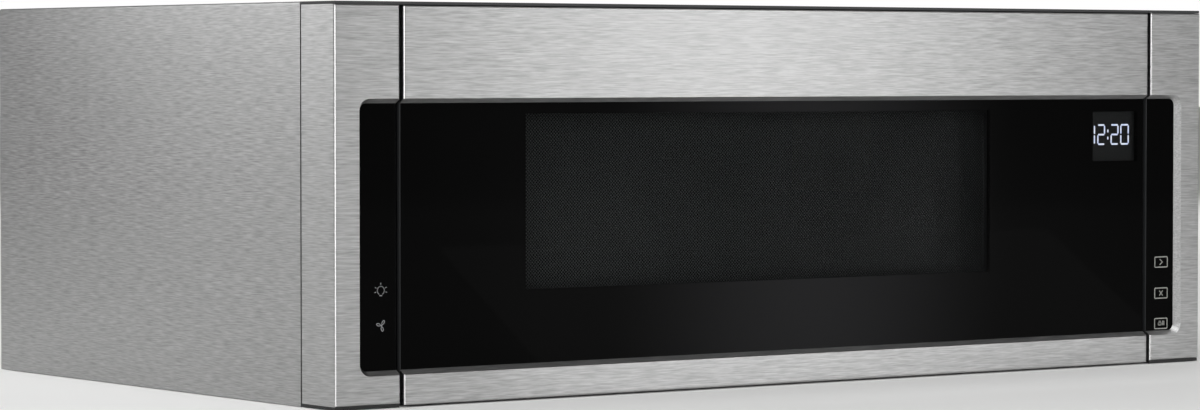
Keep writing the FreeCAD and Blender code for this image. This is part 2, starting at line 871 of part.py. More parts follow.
def door_band(z0, z1, notch_low, notch_high):
    """Stainless band across the door, notched where the hinge arm swings."""
    band = front_skin(-door_half, door_half, band_return, z0, z1)
    notch = box(-door_half - 1.0, -door_half + hinge_swing, front_y + trim_sheet, front_y + band_return + 1.0,
                notch_low, notch_high)
    return band.cut(notch)


def door_top_band():
    """Upper band of the door."""
    return door_band(recess_top - recess_slope, door_top, door_body_high - 0.2, overall_height)


def door_bottom_band():
    """Lower band of the door, open below for the fingers and divided at both ends of that opening."""
    left = pocket_centre_x - pocket_width / 2.0
    right = pocket_centre_x + pocket_width / 2.0
    band = door_band(door_floor_gap, recess_bottom + recess_slope, 0.0, door_body_low + 0.2)
    band = band.cut(box(left, right, carrier_front_y + plastic_wall, front_y + band_return + 1.0, 0.0,
                        door_floor_gap + 2.0 * trim_sheet))
    return divided_across(band, [left, right])


def door_glass():
    """Black-printed glass across the whole door."""
    half = door_half - sheet_gap
    glass = box(-half, half, glass_front_y, glass_rear_y, glass_low, glass_high)
    return glass.makeChamfer(glass_edge_bevel, edges_at_y(glass, glass_front_y))


def door_frame():
    """Black plastic frame of the door, with the finger pocket, latch channel and hinge bosses."""
    outer = box(-door_body_half, door_body_half, carrier_front_y, inner_cover_y, door_body_low,
                door_body_high)
    web_y = carrier_front_y + door_web
    hollow = box(-door_body_half + door_rim, door_body_half - door_rim, web_y, inner_cover_y + 1.0,
                 door_body_low + door_rim, door_body_high - door_rim)
    frame = outer.cut(hollow)
    frame = fuse_all([frame] + door_frame_blocks(web_y))
    return cut_all(frame, door_frame_cuts(web_y))


def door_frame_blocks(web_y):
    """What stands on the web of the door frame."""
    blocks = []
    boss_x1 = pivot_x + hinge_boss_x
    boss_y1 = pivot_y + hinge_boss_y
    upper_z = recess_top + trim_sheet + seat_gap
    lower_z = recess_bottom - trim_sheet - seat_gap
    front_inside = front_y + trim_sheet + sheet_gap
    blocks.append(box(-door_body_half, boss_x1, front_inside, boss_y1, upper_z, door_body_high))
    blocks.append(box(-door_body_half, boss_x1, front_inside, boss_y1, door_body_low, lower_z))
    half_rib = door_rib_width / 2.0
    first_rib = -door_half + door_rib_inset
    rib_step = -2.0 * first_rib / (door_ribs - 1)
    for index in range(door_ribs):
        x = first_rib + rib_step * index
        blocks.append(box(x - half_rib, x + half_rib, front_inside, web_y, upper_z, door_body_high))
        blocks.append(box(x - half_rib, x + half_rib, front_inside, web_y, door_body_low, lower_z))
    pocket_half = pocket_width / 2.0 + plastic_wall
    blocks.append(box(pocket_centre_x - pocket_half, pocket_centre_x + pocket_half, carrier_front_y,
                      inner_cover_y, door_body_low, pocket_top + plastic_wall))
    floor_y = latch_bar_y() - slot_gap
    half_bar = latch_bar_width / 2.0 + slot_gap
    channel_low = latch_bar_low() - latch_channel_foot
    channel_high = spring_top() + latch_channel_cap
    blocks.append(box(latch_x - half_bar - plastic_wall, latch_x + half_bar + plastic_wall, web_y - 1.0,
                      inner_cover_y, channel_low, channel_high))
    blocks[-1] = blocks[-1].cut(box(latch_x - half_bar, latch_x + half_bar, floor_y, inner_cover_y + 1.0,
                                    latch_bar_low() - slot_gap, spring_top()))
    for x in (choke_left + spacer_inset, choke_right - spacer_inset):
        for z in (choke_low + spacer_inset, choke_high - spacer_inset):
            blocks.append(rod_y(spacer_radius, x, z, web_y - 1.0, choke_plate_y - sheet_gap))
    return blocks


def door_frame_cuts(web_y):
    """What is cut from the door frame."""
    pocket_half = pocket_width / 2.0
    cuts = [
        box(window_left - window_margin, window_right + window_margin, front_y, web_y + 1.0,
            window_low - window_margin, window_high + window_margin),
        box(display_x - display_width / 2.0 - sheet_gap, display_x + display_width / 2.0 + sheet_gap, front_y,
            carrier_front_y + display_depth + sheet_gap, display_z - display_height / 2.0 - sheet_gap,
            display_z + display_height / 2.0 + sheet_gap),
        box(pocket_centre_x - pocket_half, pocket_centre_x + pocket_half, carrier_front_y + plastic_wall,
            inner_cover_y - plastic_wall, 0.0, pocket_top),
        rod_z(hinge_pin_radius + running_gap, pivot_x, pivot_y, door_body_high - hinge_pin_length,
              door_body_high + 1.0),
        rod_z(hinge_pin_radius + running_gap, pivot_x, pivot_y, door_body_low - 1.0,
              door_body_low + hinge_pin_length),
    ]
    return cuts


def display_module():
    """Clock display behind the glass of the door."""
    return box(display_x - display_width / 2.0, display_x + display_width / 2.0, carrier_front_y,
               carrier_front_y + display_depth, display_z - display_height / 2.0,
               display_z + display_height / 2.0)


def door_choke_panel():
    """Steel inner panel with the choke groove around the window."""
    outer = box(choke_left, choke_right, choke_plate_y, choke_rear_y, choke_low, choke_high)
    pan = box(choke_left + choke_sheet, choke_right - choke_sheet, choke_plate_y + choke_sheet,
              choke_rear_y + 1.0, choke_low + choke_sheet, choke_high - choke_sheet)
    panel = outer.cut(pan)
    inner_outside = box(choke_left + choke_groove, choke_right - choke_groove, choke_plate_y,
                        choke_rear_y - inner_window - sheet_gap, choke_low + choke_groove,
                        choke_high - choke_groove)
    wall = choke_groove + choke_sheet
    inner_inside = box(choke_left + wall, choke_right - wall, choke_plate_y - 1.0, choke_rear_y,
                       choke_low + wall, choke_high - wall)
    panel = fuse_all([panel, inner_outside.cut(inner_inside)])
    window = box(window_left - window_margin, window_right + window_margin, choke_plate_y - 1.0,
                 choke_plate_y + choke_sheet + 1.0, window_low - window_margin, window_high + window_margin)
    return panel.cut(window)


def door_screen():
    """Perforated steel screen across the window."""
    edge = window_margin + screen_lap
    return box(window_left - edge, window_right + edge, choke_plate_y - screen_sheet, choke_plate_y,
               window_low - edge, window_high + edge)


def door_inner_window():
    """Clear sheet on the oven side of the screen."""
    inset = choke_groove - inner_window_lap
    return box(choke_left + inset, choke_right - inset, choke_rear_y - inner_window, choke_rear_y,
               choke_low + inset, choke_high - inset)


def door_inner_cover():
    """Black plastic cover over the back of the door, open at the window and the latch hooks."""
    cover = box(-door_body_half, door_body_half, inner_cover_y, door_rear_y, door_body_low, door_body_high)
    cover = round_edges_along(cover, inner_cover_corner, Vector(0, 1, 0))
    inset = choke_groove + inner_cover_lip
    cuts = [rounded_block(choke_left + inset, choke_right - inset, inner_cover_y - 1.0, door_rear_y + 1.0,
                          choke_low + inset, choke_high - inset, cavity_corner)]
    half = latch_thickness / 2.0 + slot_gap
    for hook_z in (latch_low, latch_high):
        cuts.append(box(latch_x - half, latch_x + half, inner_cover_y - 1.0, door_rear_y + 1.0,
                        hook_z - latch_arm_height / 2.0 - latch_nose_drop - slot_gap,
                        hook_z + latch_arm_height / 2.0 + latch_lift + slot_gap))
    return cut_all(cover, cuts)


def latch_bar_low():
    """Lower end of the latch bar."""
    return latch_low - latch_bar_tail


def latch_bar_high():
    """Upper end of the latch bar."""
    return latch_high + latch_bar_head


def spring_top():
    """Seat of the latch spring in the door frame."""
    return latch_bar_high() + latch_spring_length + 2.0 * sheet_gap


def latch_bar_y():
    """Front of the latch bar."""
    return choke_plate_y - 2.0


def latch_hooks():
    """Sliding bar with two hooks that hold the door shut."""
    bar = box(latch_x - latch_bar_width / 2.0, latch_x + latch_bar_width / 2.0, latch_bar_y(),
              inner_cover_y - slot_gap, latch_bar_low(), latch_bar_high())
    pieces = [bar]
    half = latch_thickness / 2.0
    for hook_z in (latch_low, latch_high):
        low = hook_z - latch_arm_height / 2.0
        pieces.append(box(latch_x - half, latch_x + half, inner_cover_y - 2.0, latch_tip_y, low,
                          hook_z + latch_arm_height / 2.0))
        nose = Part.makePolygon([
            Vector(latch_x - half, latch_tip_y, low + 1.0),
            Vector(latch_x - half, latch_tip_y - 2.0, low - latch_nose_drop),
            Vector(latch_x - half, latch_tip_y - latch_nose_length, low - latch_nose_drop),
            Vector(latch_x - half, latch_tip_y - latch_nose_length, low + 1.0),
            Vector(latch_x - half, latch_tip_y, low + 1.0),
        ])
        pieces.append(Part.Face(nose).extrude(Vector(latch_thickness, 0, 0)))
    return fuse_all(pieces)


def latch_spring():
    """Spring that presses the latch bar down."""
    y = (latch_bar_y() + inner_cover_y - slot_gap) / 2.0
    z0 = latch_bar_high() + sheet_gap
    z1 = z0 + latch_spring_length
    outer = rod_z(latch_spring_radius, latch_x, y, z0, z1)
    return outer.cut(rod_z(latch_spring_bore, latch_x, y, z0 - 1.0, z1 + 1.0))


def latch_board():
    """Plastic bracket behind the front frame with a catch ledge and a guide for each hook."""
    side_x1 = latch_side_x + plastic_wall
    flange_y = frame_rear_y + plastic_wall
    z0 = latch_low - latch_board_low
    z1 = latch_high + latch_board_high
    guide_y = plunger_y + plunger_guide_setback
    half_x = latch_thickness / 2.0 + slot_gap
    half_z = plunger_height / 2.0 + slot_gap
    pieces = [
        box(latch_x - latch_flange_left, side_x1 + latch_flange_right, frame_rear_y, flange_y, z0, z1),
        box(latch_side_x, side_x1, frame_rear_y, switch_y + switch_length, z0, z1),
    ]
    cuts = []
    for hook_z in (latch_low, latch_high):
        ledge_top = hook_z - latch_arm_height / 2.0 - latch_nose_drop - slot_gap
        pieces.append(box(latch_x - latch_bar_width / 2.0, latch_side_x + 1.0, frame_rear_y,
                          latch_tip_y + 1.0, ledge_top - catch_thickness, ledge_top))
        pieces.append(box(latch_x - latch_side_gap, latch_side_x + 1.0, guide_y, guide_y + plunger_guide,
                          hook_z - plunger_height * 1.5, hook_z + plunger_height * 1.5))
        cuts.append(box(latch_x - half_x, latch_x + half_x, guide_y - 1.0, guide_y + plunger_guide + 1.0,
                        hook_z - half_z, hook_z + half_z))
        cuts.append(latch_slot(hook_z, frame_rear_y - 1.0, flange_y))
    return cut_all(fuse_all(pieces), cuts)


def interlock_plungers():
    """Two plungers that the hooks push towards the door switches."""
    plungers = []
    half = latch_thickness / 2.0
    for hook_z in (latch_low, latch_high):
        plungers.append(box(latch_x - half, latch_x + half, plunger_y, plunger_y + plunger_length,
                            hook_z - plunger_height / 2.0, hook_z + plunger_height / 2.0))
    return Part.makeCompound(plungers)


def interlock_switches():
    """Three door switches on the latch board."""
    switches = []
    for hook_z in (latch_low, latch_high):
        switches.append(box(latch_side_x - switch_thickness, latch_side_x, switch_y, switch_y + switch_length,
                            hook_z - switch_height / 2.0, hook_z + switch_height / 2.0))
    monitor_z = (latch_low + latch_high) / 2.0
    monitor_x = latch_side_x + plastic_wall
    monitor_y = frame_rear_y + plastic_wall + 2.0
    switches.append(box(monitor_x, monitor_x + switch_thickness, monitor_y, monitor_y + switch_length,
                        monitor_z - switch_height / 2.0, monitor_z + switch_height / 2.0))
    return Part.makeCompound(switches)


def top_vent_grille():
    """Black plate over the front assembly, with the slots that let the filtered air out."""
    lead = box(-side_x + grille_margin, side_x - grille_margin, front_y + grille_margin,
               frame_face_y + case_seam - grille_margin, grille_low, overall_height)
    half = case_inside_x - seat_gap
    rear_plate = box(-half, half, frame_face_y, grille_rear_y, grille_low, overall_height)
    slots = []
    for index in range(grille_slots):
        x = cavity_centre_x + (index - (grille_slots - 1) / 2.0) * grille_slot_pitch
        y1 = grille_rear_y - grille_slot_margin
        slots.append(box(x - grille_slot_width / 2.0, x + grille_slot_width / 2.0, y1 - grille_slot_length,
                         y1, grille_low - 1.0, overall_height + 1.0))
    return cut_all(fuse_all([lead, rear_plate]), slots)


def charcoal_filter():
    """Charcoal filter on top of the oven, under the grille."""
    half = grille_slots * grille_slot_pitch / 2.0
    floor = cavity_ceiling + liner_sheet + seat_gap
    y1 = grille_rear_y - grille_slot_margin + charcoal_lap
    y0 = y1 - grille_slot_length - 2.0 * charcoal_lap
    body = box(cavity_centre_x - half, cavity_centre_x + half, y0, y1, floor, grille_low - charcoal_gap)
    return round_edges_along(body, charcoal_corner, Vector(0, 0, 1))


def cord_inlet_bushing():
    """Bushing in the top of the case where the supply lead enters."""
    flange = rod_z(inlet_radius, inlet_x, inlet_y, case_inside_top - inlet_flange, case_inside_top)
    sleeve = rod_z(inlet_radius - inlet_lip - sheet_gap, inlet_x, inlet_y, case_inside_top - inlet_length,
                   overall_height)
    bore = rod_z(inlet_bore, inlet_x, inlet_y, case_inside_top - inlet_length - 1.0, overall_height + 1.0)
    return fuse_all([flange, sleeve]).cut(bore)


def cavity_liner():
    """Walls, ceiling and back of the painted oven box, open at the front."""
    outer = rounded_block(cavity_left - liner_sheet, cavity_right + liner_sheet, cavity_front_y,
                          cavity_rear_y + liner_sheet, cavity_floor - liner_sheet,
                          cavity_ceiling + liner_sheet, cavity_corner + liner_sheet)
    inside = rounded_block(cavity_left, cavity_right, cavity_front_y - 1.0, cavity_rear_y, cavity_floor,
                           cavity_ceiling, cavity_corner)
    cuts = [
        cavity_floor_space(),
        box(cavity_right - 1.0, cavity_right + 5.0, guide_front_y + guide_window_inset,
            guide_front_y + guide_length - guide_window_inset, guide_low + guide_window_inset,
            guide_low + guide_height - guide_window_inset),
    ]
    for column in range(8):
        for row in range(5):
            y = cavity_front_y + vent_setback + vent_pitch * column
            z = cavity_floor + vent_rise + vent_pitch * row
            cuts.append(rod_x(vent_hole_radius, y, z, cavity_left - 5.0, cavity_left + 1.0))
    for column in range(6):
        for row in range(4):
            cuts.append(rod_z(vent_hole_radius, lamp_x() + vent_pitch * (column - 2.5),
                              cavity_centre_y + vent_pitch * (row - 1.5), cavity_ceiling - 1.0,
                              cavity_ceiling + 5.0))
    return cut_all(outer.cut(inside), cuts)


def cavity_floor_space():
    """Flat part of the oven floor, between the rounded corners."""
    return box(cavity_left + cavity_corner, cavity_right - cavity_corner, cavity_front_y, cavity_rear_y,
               cavity_floor - liner_sheet, cavity_floor)


def oven_floor():
    """Flat floor sheet of the oven, with the hole for the turntable shaft."""
    shaft_hole = rod_z(shaft_radius + shaft_hole_gap, cavity_centre_x, cavity_centre_y,
                       cavity_floor - liner_sheet - 1.0, cavity_floor + 1.0)
    return cavity_floor_space().cut(shaft_hole)


def lamp_x():
    """Middle of the oven lamp."""
    return cavity_left + lamp_inset


def cavity_lamp():
    """Oven lamp and its housing over the holes in the ceiling."""
    floor = cavity_ceiling + liner_sheet
    x = lamp_x()
    y = cavity_centre_y
    half_x = lamp_length / 2.0
    half_y = lamp_width / 2.0
    housing = box(x - half_x, x + half_x, y - half_y, y + half_y, floor, floor + lamp_height)
    inside = box(x - half_x + lamp_wall, x + half_x - lamp_wall, y - half_y + lamp_wall,
                 y + half_y - lamp_wall, floor - 1.0, floor + lamp_height - lamp_wall)
    bulb_end = x + half_x - lamp_wall / 2.0
    bulb = rod_x(bulb_radius, y, floor + lamp_height / 2.0 - 1.0, x - half_x / 3.0, bulb_end)
    return fuse_all([housing.cut(inside), bulb])


def waveguide_cover():
    """Mica sheet over the waveguide opening."""
    inset = guide_window_inset - mica_lap
    return box(cavity_right - mica_sheet, cavity_right, guide_front_y + inset,
               guide_front_y + guide_length - inset, guide_low + inset, guide_low + guide_height - inset)


def waveguide():
    """Steel channel that feeds the oven from the magnetron."""
    x0 = cavity_right + liner_sheet
    x1 = x0 + guide_width
    y1 = guide_front_y + guide_length
    z1 = guide_low + guide_height
    outer = box(x0, x1, guide_front_y, y1, guide_low, z1)
    inside = box(x0 - 1.0, x1 - guide_sheet, guide_front_y + guide_sheet, y1 - guide_sheet,
                 guide_low + guide_sheet, z1 - guide_sheet)
    antenna_way = rod_x(antenna_radius + antenna_gap, guide_front_y + guide_length / 2.0,
                        guide_low + guide_height / 2.0, x1 - 3.0, x1 + 1.0)
    return outer.cut(inside).cut(antenna_way)


def magnetron():
    """Magnetron with its yoke, cooling fins, antenna and filter box."""
    x0 = cavity_right + liner_sheet + guide_width
    y = guide_front_y + guide_length / 2.0
    z = guide_low + guide_height / 2.0
    x1 = x0 + magnetron_length - filter_box_length
    half_y = magnetron_width / 2.0
    half_z = magnetron_height / 2.0
    box_y = half_y - filter_box_inset
    box_z = half_z - filter_box_inset
    pieces = [
        box(x0, x0 + yoke_sheet, y - half_y, y + half_y, z - half_z, z + half_z),
        box(x1 - yoke_sheet, x1, y - half_y, y + half_y, z - half_z, z + half_z),
        box(x0, x1, y - half_y, y + half_y, z - half_z, z - half_z + yoke_sheet),
        box(x0, x1, y - half_y, y + half_y, z + half_z - yoke_sheet, z + half_z),
        box(x1 - 0.5, x1 + filter_box_length, y - box_y, y + box_y, z - box_z, z + box_z),
        rod_x(magnetron_core_radius, y, z, x0 + 1.0, x1 - 1.0),
        rod_x(antenna_radius, y, z, x0 - antenna_length, x0 + 1.0),
    ]
    for index in range(magnetron_fins):
        fin_x = x0 + magnetron_fin_pitch * (index + 1.0)
        pieces.append(box(fin_x, fin_x + magnetron_fin, y - half_y + yoke_sheet, y + half_y - yoke_sheet,
                          z - half_z + 1.0, z + half_z - 1.0))
    return fuse_all(pieces)


def inverter_power_supply():
    """High-voltage inverter: board on legs with a ferrite transformer and a finned heat sink."""
    x0 = cavity_right + inverter_left_gap
    x1 = case_inside_x - inverter_right_gap
    y0 = frame_rear_y + inverter_setback
    y1 = y0 + inverter_length
    deck = base_sheet + leg_height
    pieces = [box(x0, x1, y0, y1, deck, deck + board_thickness)]
    for x in (x0 + leg_inset, x1 - leg_inset):
        for y in (y0 + leg_inset, y1 - leg_inset):
            pieces.append(rod_z(leg_radius, x, y, base_sheet, deck + 0.5))
    pieces.append(box(x0 + leg_inset, x0 + leg_inset + coil_block, y1 - leg_inset - coil_block - leg_radius,
                      y1 - leg_inset - leg_radius, deck + 1.0, deck + inverter_height))
    pieces.append(rod_z(coil_block / 3.0, x1 - coil_block / 2.0, y1 - coil_block / 2.0, deck + 1.0,
                        deck + sink_height))
    sink_y0 = y0 + 2.0 * leg_inset
    for index in range(sink_fins):
        fin_x = x0 + 2.0 * leg_inset + sink_pitch * index
        pieces.append(box(fin_x, fin_x + sink_fin, sink_y0, sink_y0 + sink_length, deck + 1.0,
                          deck + sink_height))
    sink_x1 = x0 + 2.0 * leg_inset + sink_pitch * (sink_fins - 1) + sink_fin
    pieces.append(box(x0 + 2.0 * leg_inset, sink_x1, sink_y0, sink_y0 + sink_length, deck + 1.0,
                      deck + 1.0 + 2.0 * sink_fin))
    return fuse_all(pieces)


def control_board():
    """Main control board on the inside of the right wall, with its relays and transformer."""
    x1 = case_inside_x - leg_radius
    x0 = x1 - board_thickness
    y0 = frame_rear_y + board_setback
    y1 = y0 + board_length
    z1 = cavity_ceiling - leg_inset * 2.0
    z0 = z1 - board_height
    pieces = [box(x0, x1, y0, y1, z0, z1)]
    for y in (y0 + leg_inset, y1 - leg_inset):
        for z in (z0 + leg_inset, z1 - leg_inset):
            pieces.append(rod_x(leg_radius, y, z, x1 - 0.5, case_inside_x))
    for index in range(relay_count):
        y = y0 + leg_inset + relay_pitch * index
        pieces.append(box(x0 - relay_height, x0 + 0.5, y, y + relay_width, z0 + leg_inset,
                          z0 + leg_inset + relay_length))
    pieces.append(box(x0 - board_coil_height, x0 + 0.5, y1 - leg_inset - board_coil, y1 - leg_inset,
                      z1 - leg_inset - board_coil, z1 - leg_inset))
    return fuse_all(pieces)


def fan_baffle():
    """Upright sheet between the power side and the blower bay, with the fan ring."""
    x0 = cavity_right + liner_sheet + 2.0 * sheet_gap
    plate = box(x0, case_inside_x, baffle_y, baffle_y + baffle_sheet, base_sheet, case_inside_top)
    flange_way = box(case_inside_x - base_sheet - sheet_gap, side_x, baffle_y - 1.0,
                     baffle_y + baffle_sheet + 1.0, 0.0, base_flange + sheet_gap)
    ring = rod_y(fan_radius + 2.0 * fan_tip_gap, fan_x, fan_z, baffle_y - fan_depth, baffle_y + 0.5)
    bore = rod_y(fan_radius + fan_tip_gap, fan_x, fan_z, baffle_y - fan_depth - 1.0,
                 baffle_y + baffle_sheet + 1.0)
    posts = []
    for side in (-1, 1):
        posts.append(rod_y(leg_radius, fan_x + side * fan_post_reach(), fan_z, baffle_y + 1.0,
                           baffle_y + fan_motor_gap))
    return fuse_all([fuse_all([plate.cut(flange_way), ring]).cut(bore)] + posts)


def fan_post_reach():
    """Distance of each motor post from the fan's axis."""
    return fan_radius + 2.0 * leg_radius


def cooling_fan():
    """Cooling fan with its spindle."""
    y0 = baffle_y - fan_depth + fan_hub_gap
    y1 = baffle_y - fan_hub_gap
    hub = rod_y(fan_hub_radius, fan_x, fan_z, y0, y1)
    spindle = rod_y(spindle_radius, fan_x, fan_z, y1 - 1.0, baffle_y + fan_motor_gap + motor_stack)
    middle_y = (y0 + y1) / 2.0
    pieces = [hub, spindle]
    for index in range(fan_blades):
        blade = box(fan_x + fan_hub_radius - 2.0, fan_x + fan_radius - 1.0, middle_y - blade_thickness / 2.0,
                    middle_y + blade_thickness / 2.0, fan_z - blade_width / 2.0, fan_z + blade_width / 2.0)
        blade.rotate(Vector(fan_x, middle_y, fan_z), Vector(1, 0, 0), blade_pitch)
        blade.rotate(Vector(fan_x, middle_y, fan_z), Vector(0, 1, 0), 360.0 * index / fan_blades)
        pieces.append(blade)
    sweep = rod_y(fan_radius, fan_x, fan_z, y0 - fan_depth, baffle_y + fan_motor_gap + motor_stack)
    return fuse_all(pieces).common(sweep)


def fan_motor():
    """Shaded-pole motor of the cooling fan, on the baffle's posts."""
    y0 = baffle_y + fan_motor_gap
    y1 = y0 + motor_stack
    reach = fan_post_reach() + 2.0 * leg_radius
    strap = box(fan_x - reach, fan_x + reach, y0, y0 + leg_radius, fan_z - motor_strap / 2.0,
                fan_z + motor_strap / 2.0)
    stack = box(fan_x - motor_width / 2.0, fan_x + motor_width / 2.0, y0 + 2.0, y1,
                fan_z - motor_width / 2.0, fan_z + motor_width / 2.0)
    coil_top = fan_z - motor_width / 2.0 + 1.0
    coil = rod_z(motor_coil_radius, fan_x, (y0 + y1) / 2.0, fan_z - motor_width, coil_top)
    bore = rod_y(spindle_radius + running_gap, fan_x, fan_z, y0 - 1.0, y1 + 1.0)
    return fuse_all([strap, stack, coil]).cut(bore)


def turntable_motor():
    """Flat motor under the oven floor."""
    z1 = cavity_floor - liner_sheet
    z0 = z1 - motor_height
    x = cavity_centre_x
    y = cavity_centre_y
    body = rod_z(motor_radius, x, y, z0, z1)
    ear_reach = motor_radius + motor_ear_length
    ears = box(x - ear_reach, x + ear_reach, y - motor_ear_width / 2.0, y + motor_ear_width / 2.0,
               z1 - frame_sheet, z1)
    bore = rod_z(shaft_radius + running_gap, x, y, z0 + shaft_pocket, z1 + 1.0)
    return fuse_all([body, ears]).cut(bore)


def turntable_shaft():
    """Output shaft of the turntable motor."""
    z0 = cavity_floor - liner_sheet - motor_height + shaft_pocket + seat_gap
    return rod_z(shaft_radius, cavity_centre_x, cavity_centre_y, z0, cavity_floor + shaft_rise)


def turntable_coupler():
    """Three-lobed drive hub on the shaft."""
    x = cavity_centre_x
    y = cavity_centre_y
    z0 = cavity_floor + coupler_floor_gap
    z1 = plate_low - seat_gap
    lobe_end = x + coupler_radius - coupler_lobe_radius
    pieces = [rod_z(coupler_hub_radius, x, y, z0, z1)]
    for index in range(3):
        lobe = box(x, lobe_end, y - coupler_lobe_radius, y + coupler_lobe_radius, z0, z1)
        tip = rod_z(coupler_lobe_radius, lobe_end, y, z0, z1)
        pieces.append(turned_z(lobe, 120.0 * index, x, y))
        pieces.append(turned_z(tip, 120.0 * index, x, y))
    bore = rod_z(shaft_radius, x, y, z0 - 1.0, cavity_floor + shaft_rise)
    return fuse_all(pieces).cut(bore)


def turntable_plate():
    """Round glass plate with a raised rim."""
    outline = Part.makePolygon([
        Vector(0, 0, 0),
        Vector(plate_foot_radius, 0, 0),
        Vector(plate_radius - plate_edge, 0, plate_rise),
        Vector(plate_radius, 0, plate_rise + plate_thickness / 2.0),
        Vector(plate_radius - plate_edge, 0, plate_rise + plate_thickness),
        Vector(plate_foot_radius - 1.0, 0, plate_thickness),
        Vector(0, 0, plate_thickness),
        Vector(0, 0, 0),
    ])
    plate = Part.Face(outline).revolve(Vector(0, 0, 0), Vector(0, 0, 1), 360.0)
    plate.translate(Vector(cavity_centre_x, cavity_centre_y, plate_low))
    return plate


def turntable_drive_studs():
    """Three studs under the glass plate, between the lobes of the drive hub."""
    x = cavity_centre_x
    y = cavity_centre_y
    studs = []
    for index in range(3):
        stud = rod_z(stud_radius, x + coupler_radius - stud_inset, y, plate_low - stud_height, plate_low)
        studs.append(turned_z(stud, 60.0 + 120.0 * index, x, y))
    return Part.makeCompound(studs)


def roller_ring():
    """Plastic carrier around the drive hub: three arms that end in axles for the rollers."""
    x = cavity_centre_x
    y = cavity_centre_y
    z0 = roller_centre_z - ring_thickness / 2.0
    z1 = roller_centre_z + ring_thickness / 2.0
    arm_end = roller_track - roller_width / 2.0 - seat_gap
    axle_end = roller_track + roller_width / 2.0 + roller_axle_tip
    pieces = [rod_z(ring_outer, x, y, z0, z1)]
    for index in range(3):
        arm = box(x, x + arm_end, y - ring_arm_width / 2.0, y + ring_arm_width / 2.0, z0, z1)
        axle = rod_x(roller_axle_radius, y, roller_centre_z, x + arm_end - 2.0, x + axle_end)
        pieces.append(turned_z(arm, 120.0 * index, x, y))
        pieces.append(turned_z(axle, 120.0 * index, x, y))
    hub_bore = rod_z(ring_outer - ring_width, x, y, z0 - 1.0, z1 + 1.0)
    return fuse_all(pieces).cut(hub_bore)


def roller(index):
    """One roller of the ring."""
    x = cavity_centre_x
    y = cavity_centre_y
    x0 = x + roller_track - roller_width / 2.0
    x1 = x0 + roller_width
    wheel = rod_x(roller_radius, y, roller_centre_z, x0, x1)
    wheel = wheel.makeFillet(roller_edge, [edge for edge in wheel.Edges if edge.Closed])
    wheel = wheel.cut(rod_x(roller_axle_radius + running_gap, y, roller_centre_z, x0 - 1.0, x1 + 1.0))
    return turned_z(wheel, 120.0 * index, x, y)


def wheel_spans():
    """Ends of the two blower wheels along X."""
    return [(-wheel_start - wheel_length, -wheel_start), (wheel_start, wheel_start + wheel_length)]


def blower_wheel(span):
    """Centrifugal wheel: hub, middle disc, end rings and blades."""
    x0, x1 = span
    middle = (x0 + x1) / 2.0
    y = blower_y
    z = blower_height
    bore = wheel_radius - wheel_ring_width
    pieces = [
        rod_x(wheel_radius, y, z, middle - wheel_disc / 2.0, middle + wheel_disc / 2.0),
        rod_x(wheel_hub_radius, y, z, middle - wheel_hub_length / 2.0, middle + wheel_hub_length / 2.0),
    ]
    for end in (x0, x1 - wheel_ring):
        ring = rod_x(wheel_radius, y, z, end, end + wheel_ring)
        pieces.append(ring.cut(rod_x(bore, y, z, end - 1.0, end + wheel_ring + 1.0)))
    for index in range(wheel_blades):
        blade = box(x0, x1, y - wheel_blade / 2.0, y + wheel_blade / 2.0, z + bore, z + wheel_radius - 0.3)
        blade.rotate(Vector(0, y, z + (bore + wheel_radius) / 2.0), Vector(1, 0, 0), wheel_blade_pitch)
        blade.rotate(Vector(0, y, z), Vector(1, 0, 0), 360.0 * index / wheel_blades)
        pieces.append(blade)
    wheel = fuse_all(pieces)
    return wheel.cut(rod_x(blower_shaft_radius, y, z, x0 - 1.0, x1 + 1.0))


def blower_wheels():
    """Left and right wheel."""
    return Part.makeCompound([blower_wheel(span) for span in wheel_spans()])


def blower_shaft():
    """Shaft through the motor and both wheels."""
    reach = wheel_start + wheel_length + wheel_shaft_tip
    return rod_x(blower_shaft_radius, blower_y, blower_height, -reach, reach)


def blower_motor():
    """Motor between the two wheels, on a foot against the rear panel."""
    half = wheel_start - blower_motor_gap
    body = rod_x(blower_motor_radius, blower_y, blower_height, -half, half)
    foot = box(-half + 4.0, half - 4.0, blower_y + blower_motor_radius / 2.0, rear_panel_y,
               blower_height - blower_motor_foot / 2.0, blower_height + blower_motor_foot / 2.0)
    bore = rod_x(blower_shaft_radius + running_gap, blower_y, blower_height, -half - 1.0, half + 1.0)
    return fuse_all([body, foot]).cut(bore)


def blower_housing():
    """Two scroll chambers joined by a tray, with their outlets up into the exhaust frame."""
    z1 = duct_low - sheet_gap
    scroll_front_y = blower_y - scroll_radius
    scroll_rear_y = blower_y + scroll_radius
    pieces = []
    cuts = []
    for x0, x1 in wheel_spans():
        outer_x0 = x0 - scroll_end_gap
        outer_x1 = x1 + scroll_end_gap
        scroll = rod_x(scroll_radius, blower_y, blower_height, outer_x0, outer_x1)
        chimney = box(outer_x0, outer_x1, scroll_front_y, scroll_rear_y, blower_height, z1)
        pieces.append(fuse_all([scroll, chimney]))
        wall = duct_sheet
        inner_x0 = outer_x0 + wall
        inner_x1 = outer_x1 - wall
        hollow = rod_x(scroll_radius - wall, blower_y, blower_height, inner_x0, inner_x1)
        chimney_hollow = box(inner_x0, inner_x1, scroll_front_y + wall, scroll_rear_y - wall, blower_height,
                             z1 + 1.0)
        cuts.append(fuse_all([hollow, chimney_hollow]))
        cuts.append(rod_x(wheel_radius - wheel_ring_width, blower_y, blower_height, outer_x0 - 1.0,
                          outer_x1 + 1.0))
    tray = box(-wheel_start, wheel_start, scroll_front_y, scroll_rear_y, z1 - duct_sheet, z1)
    foot_low = blower_height + blower_motor_foot / 2.0 + 2.0
    foot = box(-wheel_start, wheel_start, scroll_rear_y - duct_sheet, scroll_rear_y, foot_low, z1)
    housing = fuse_all(pieces + [tray, foot])
    return cut_all(housing, cuts)


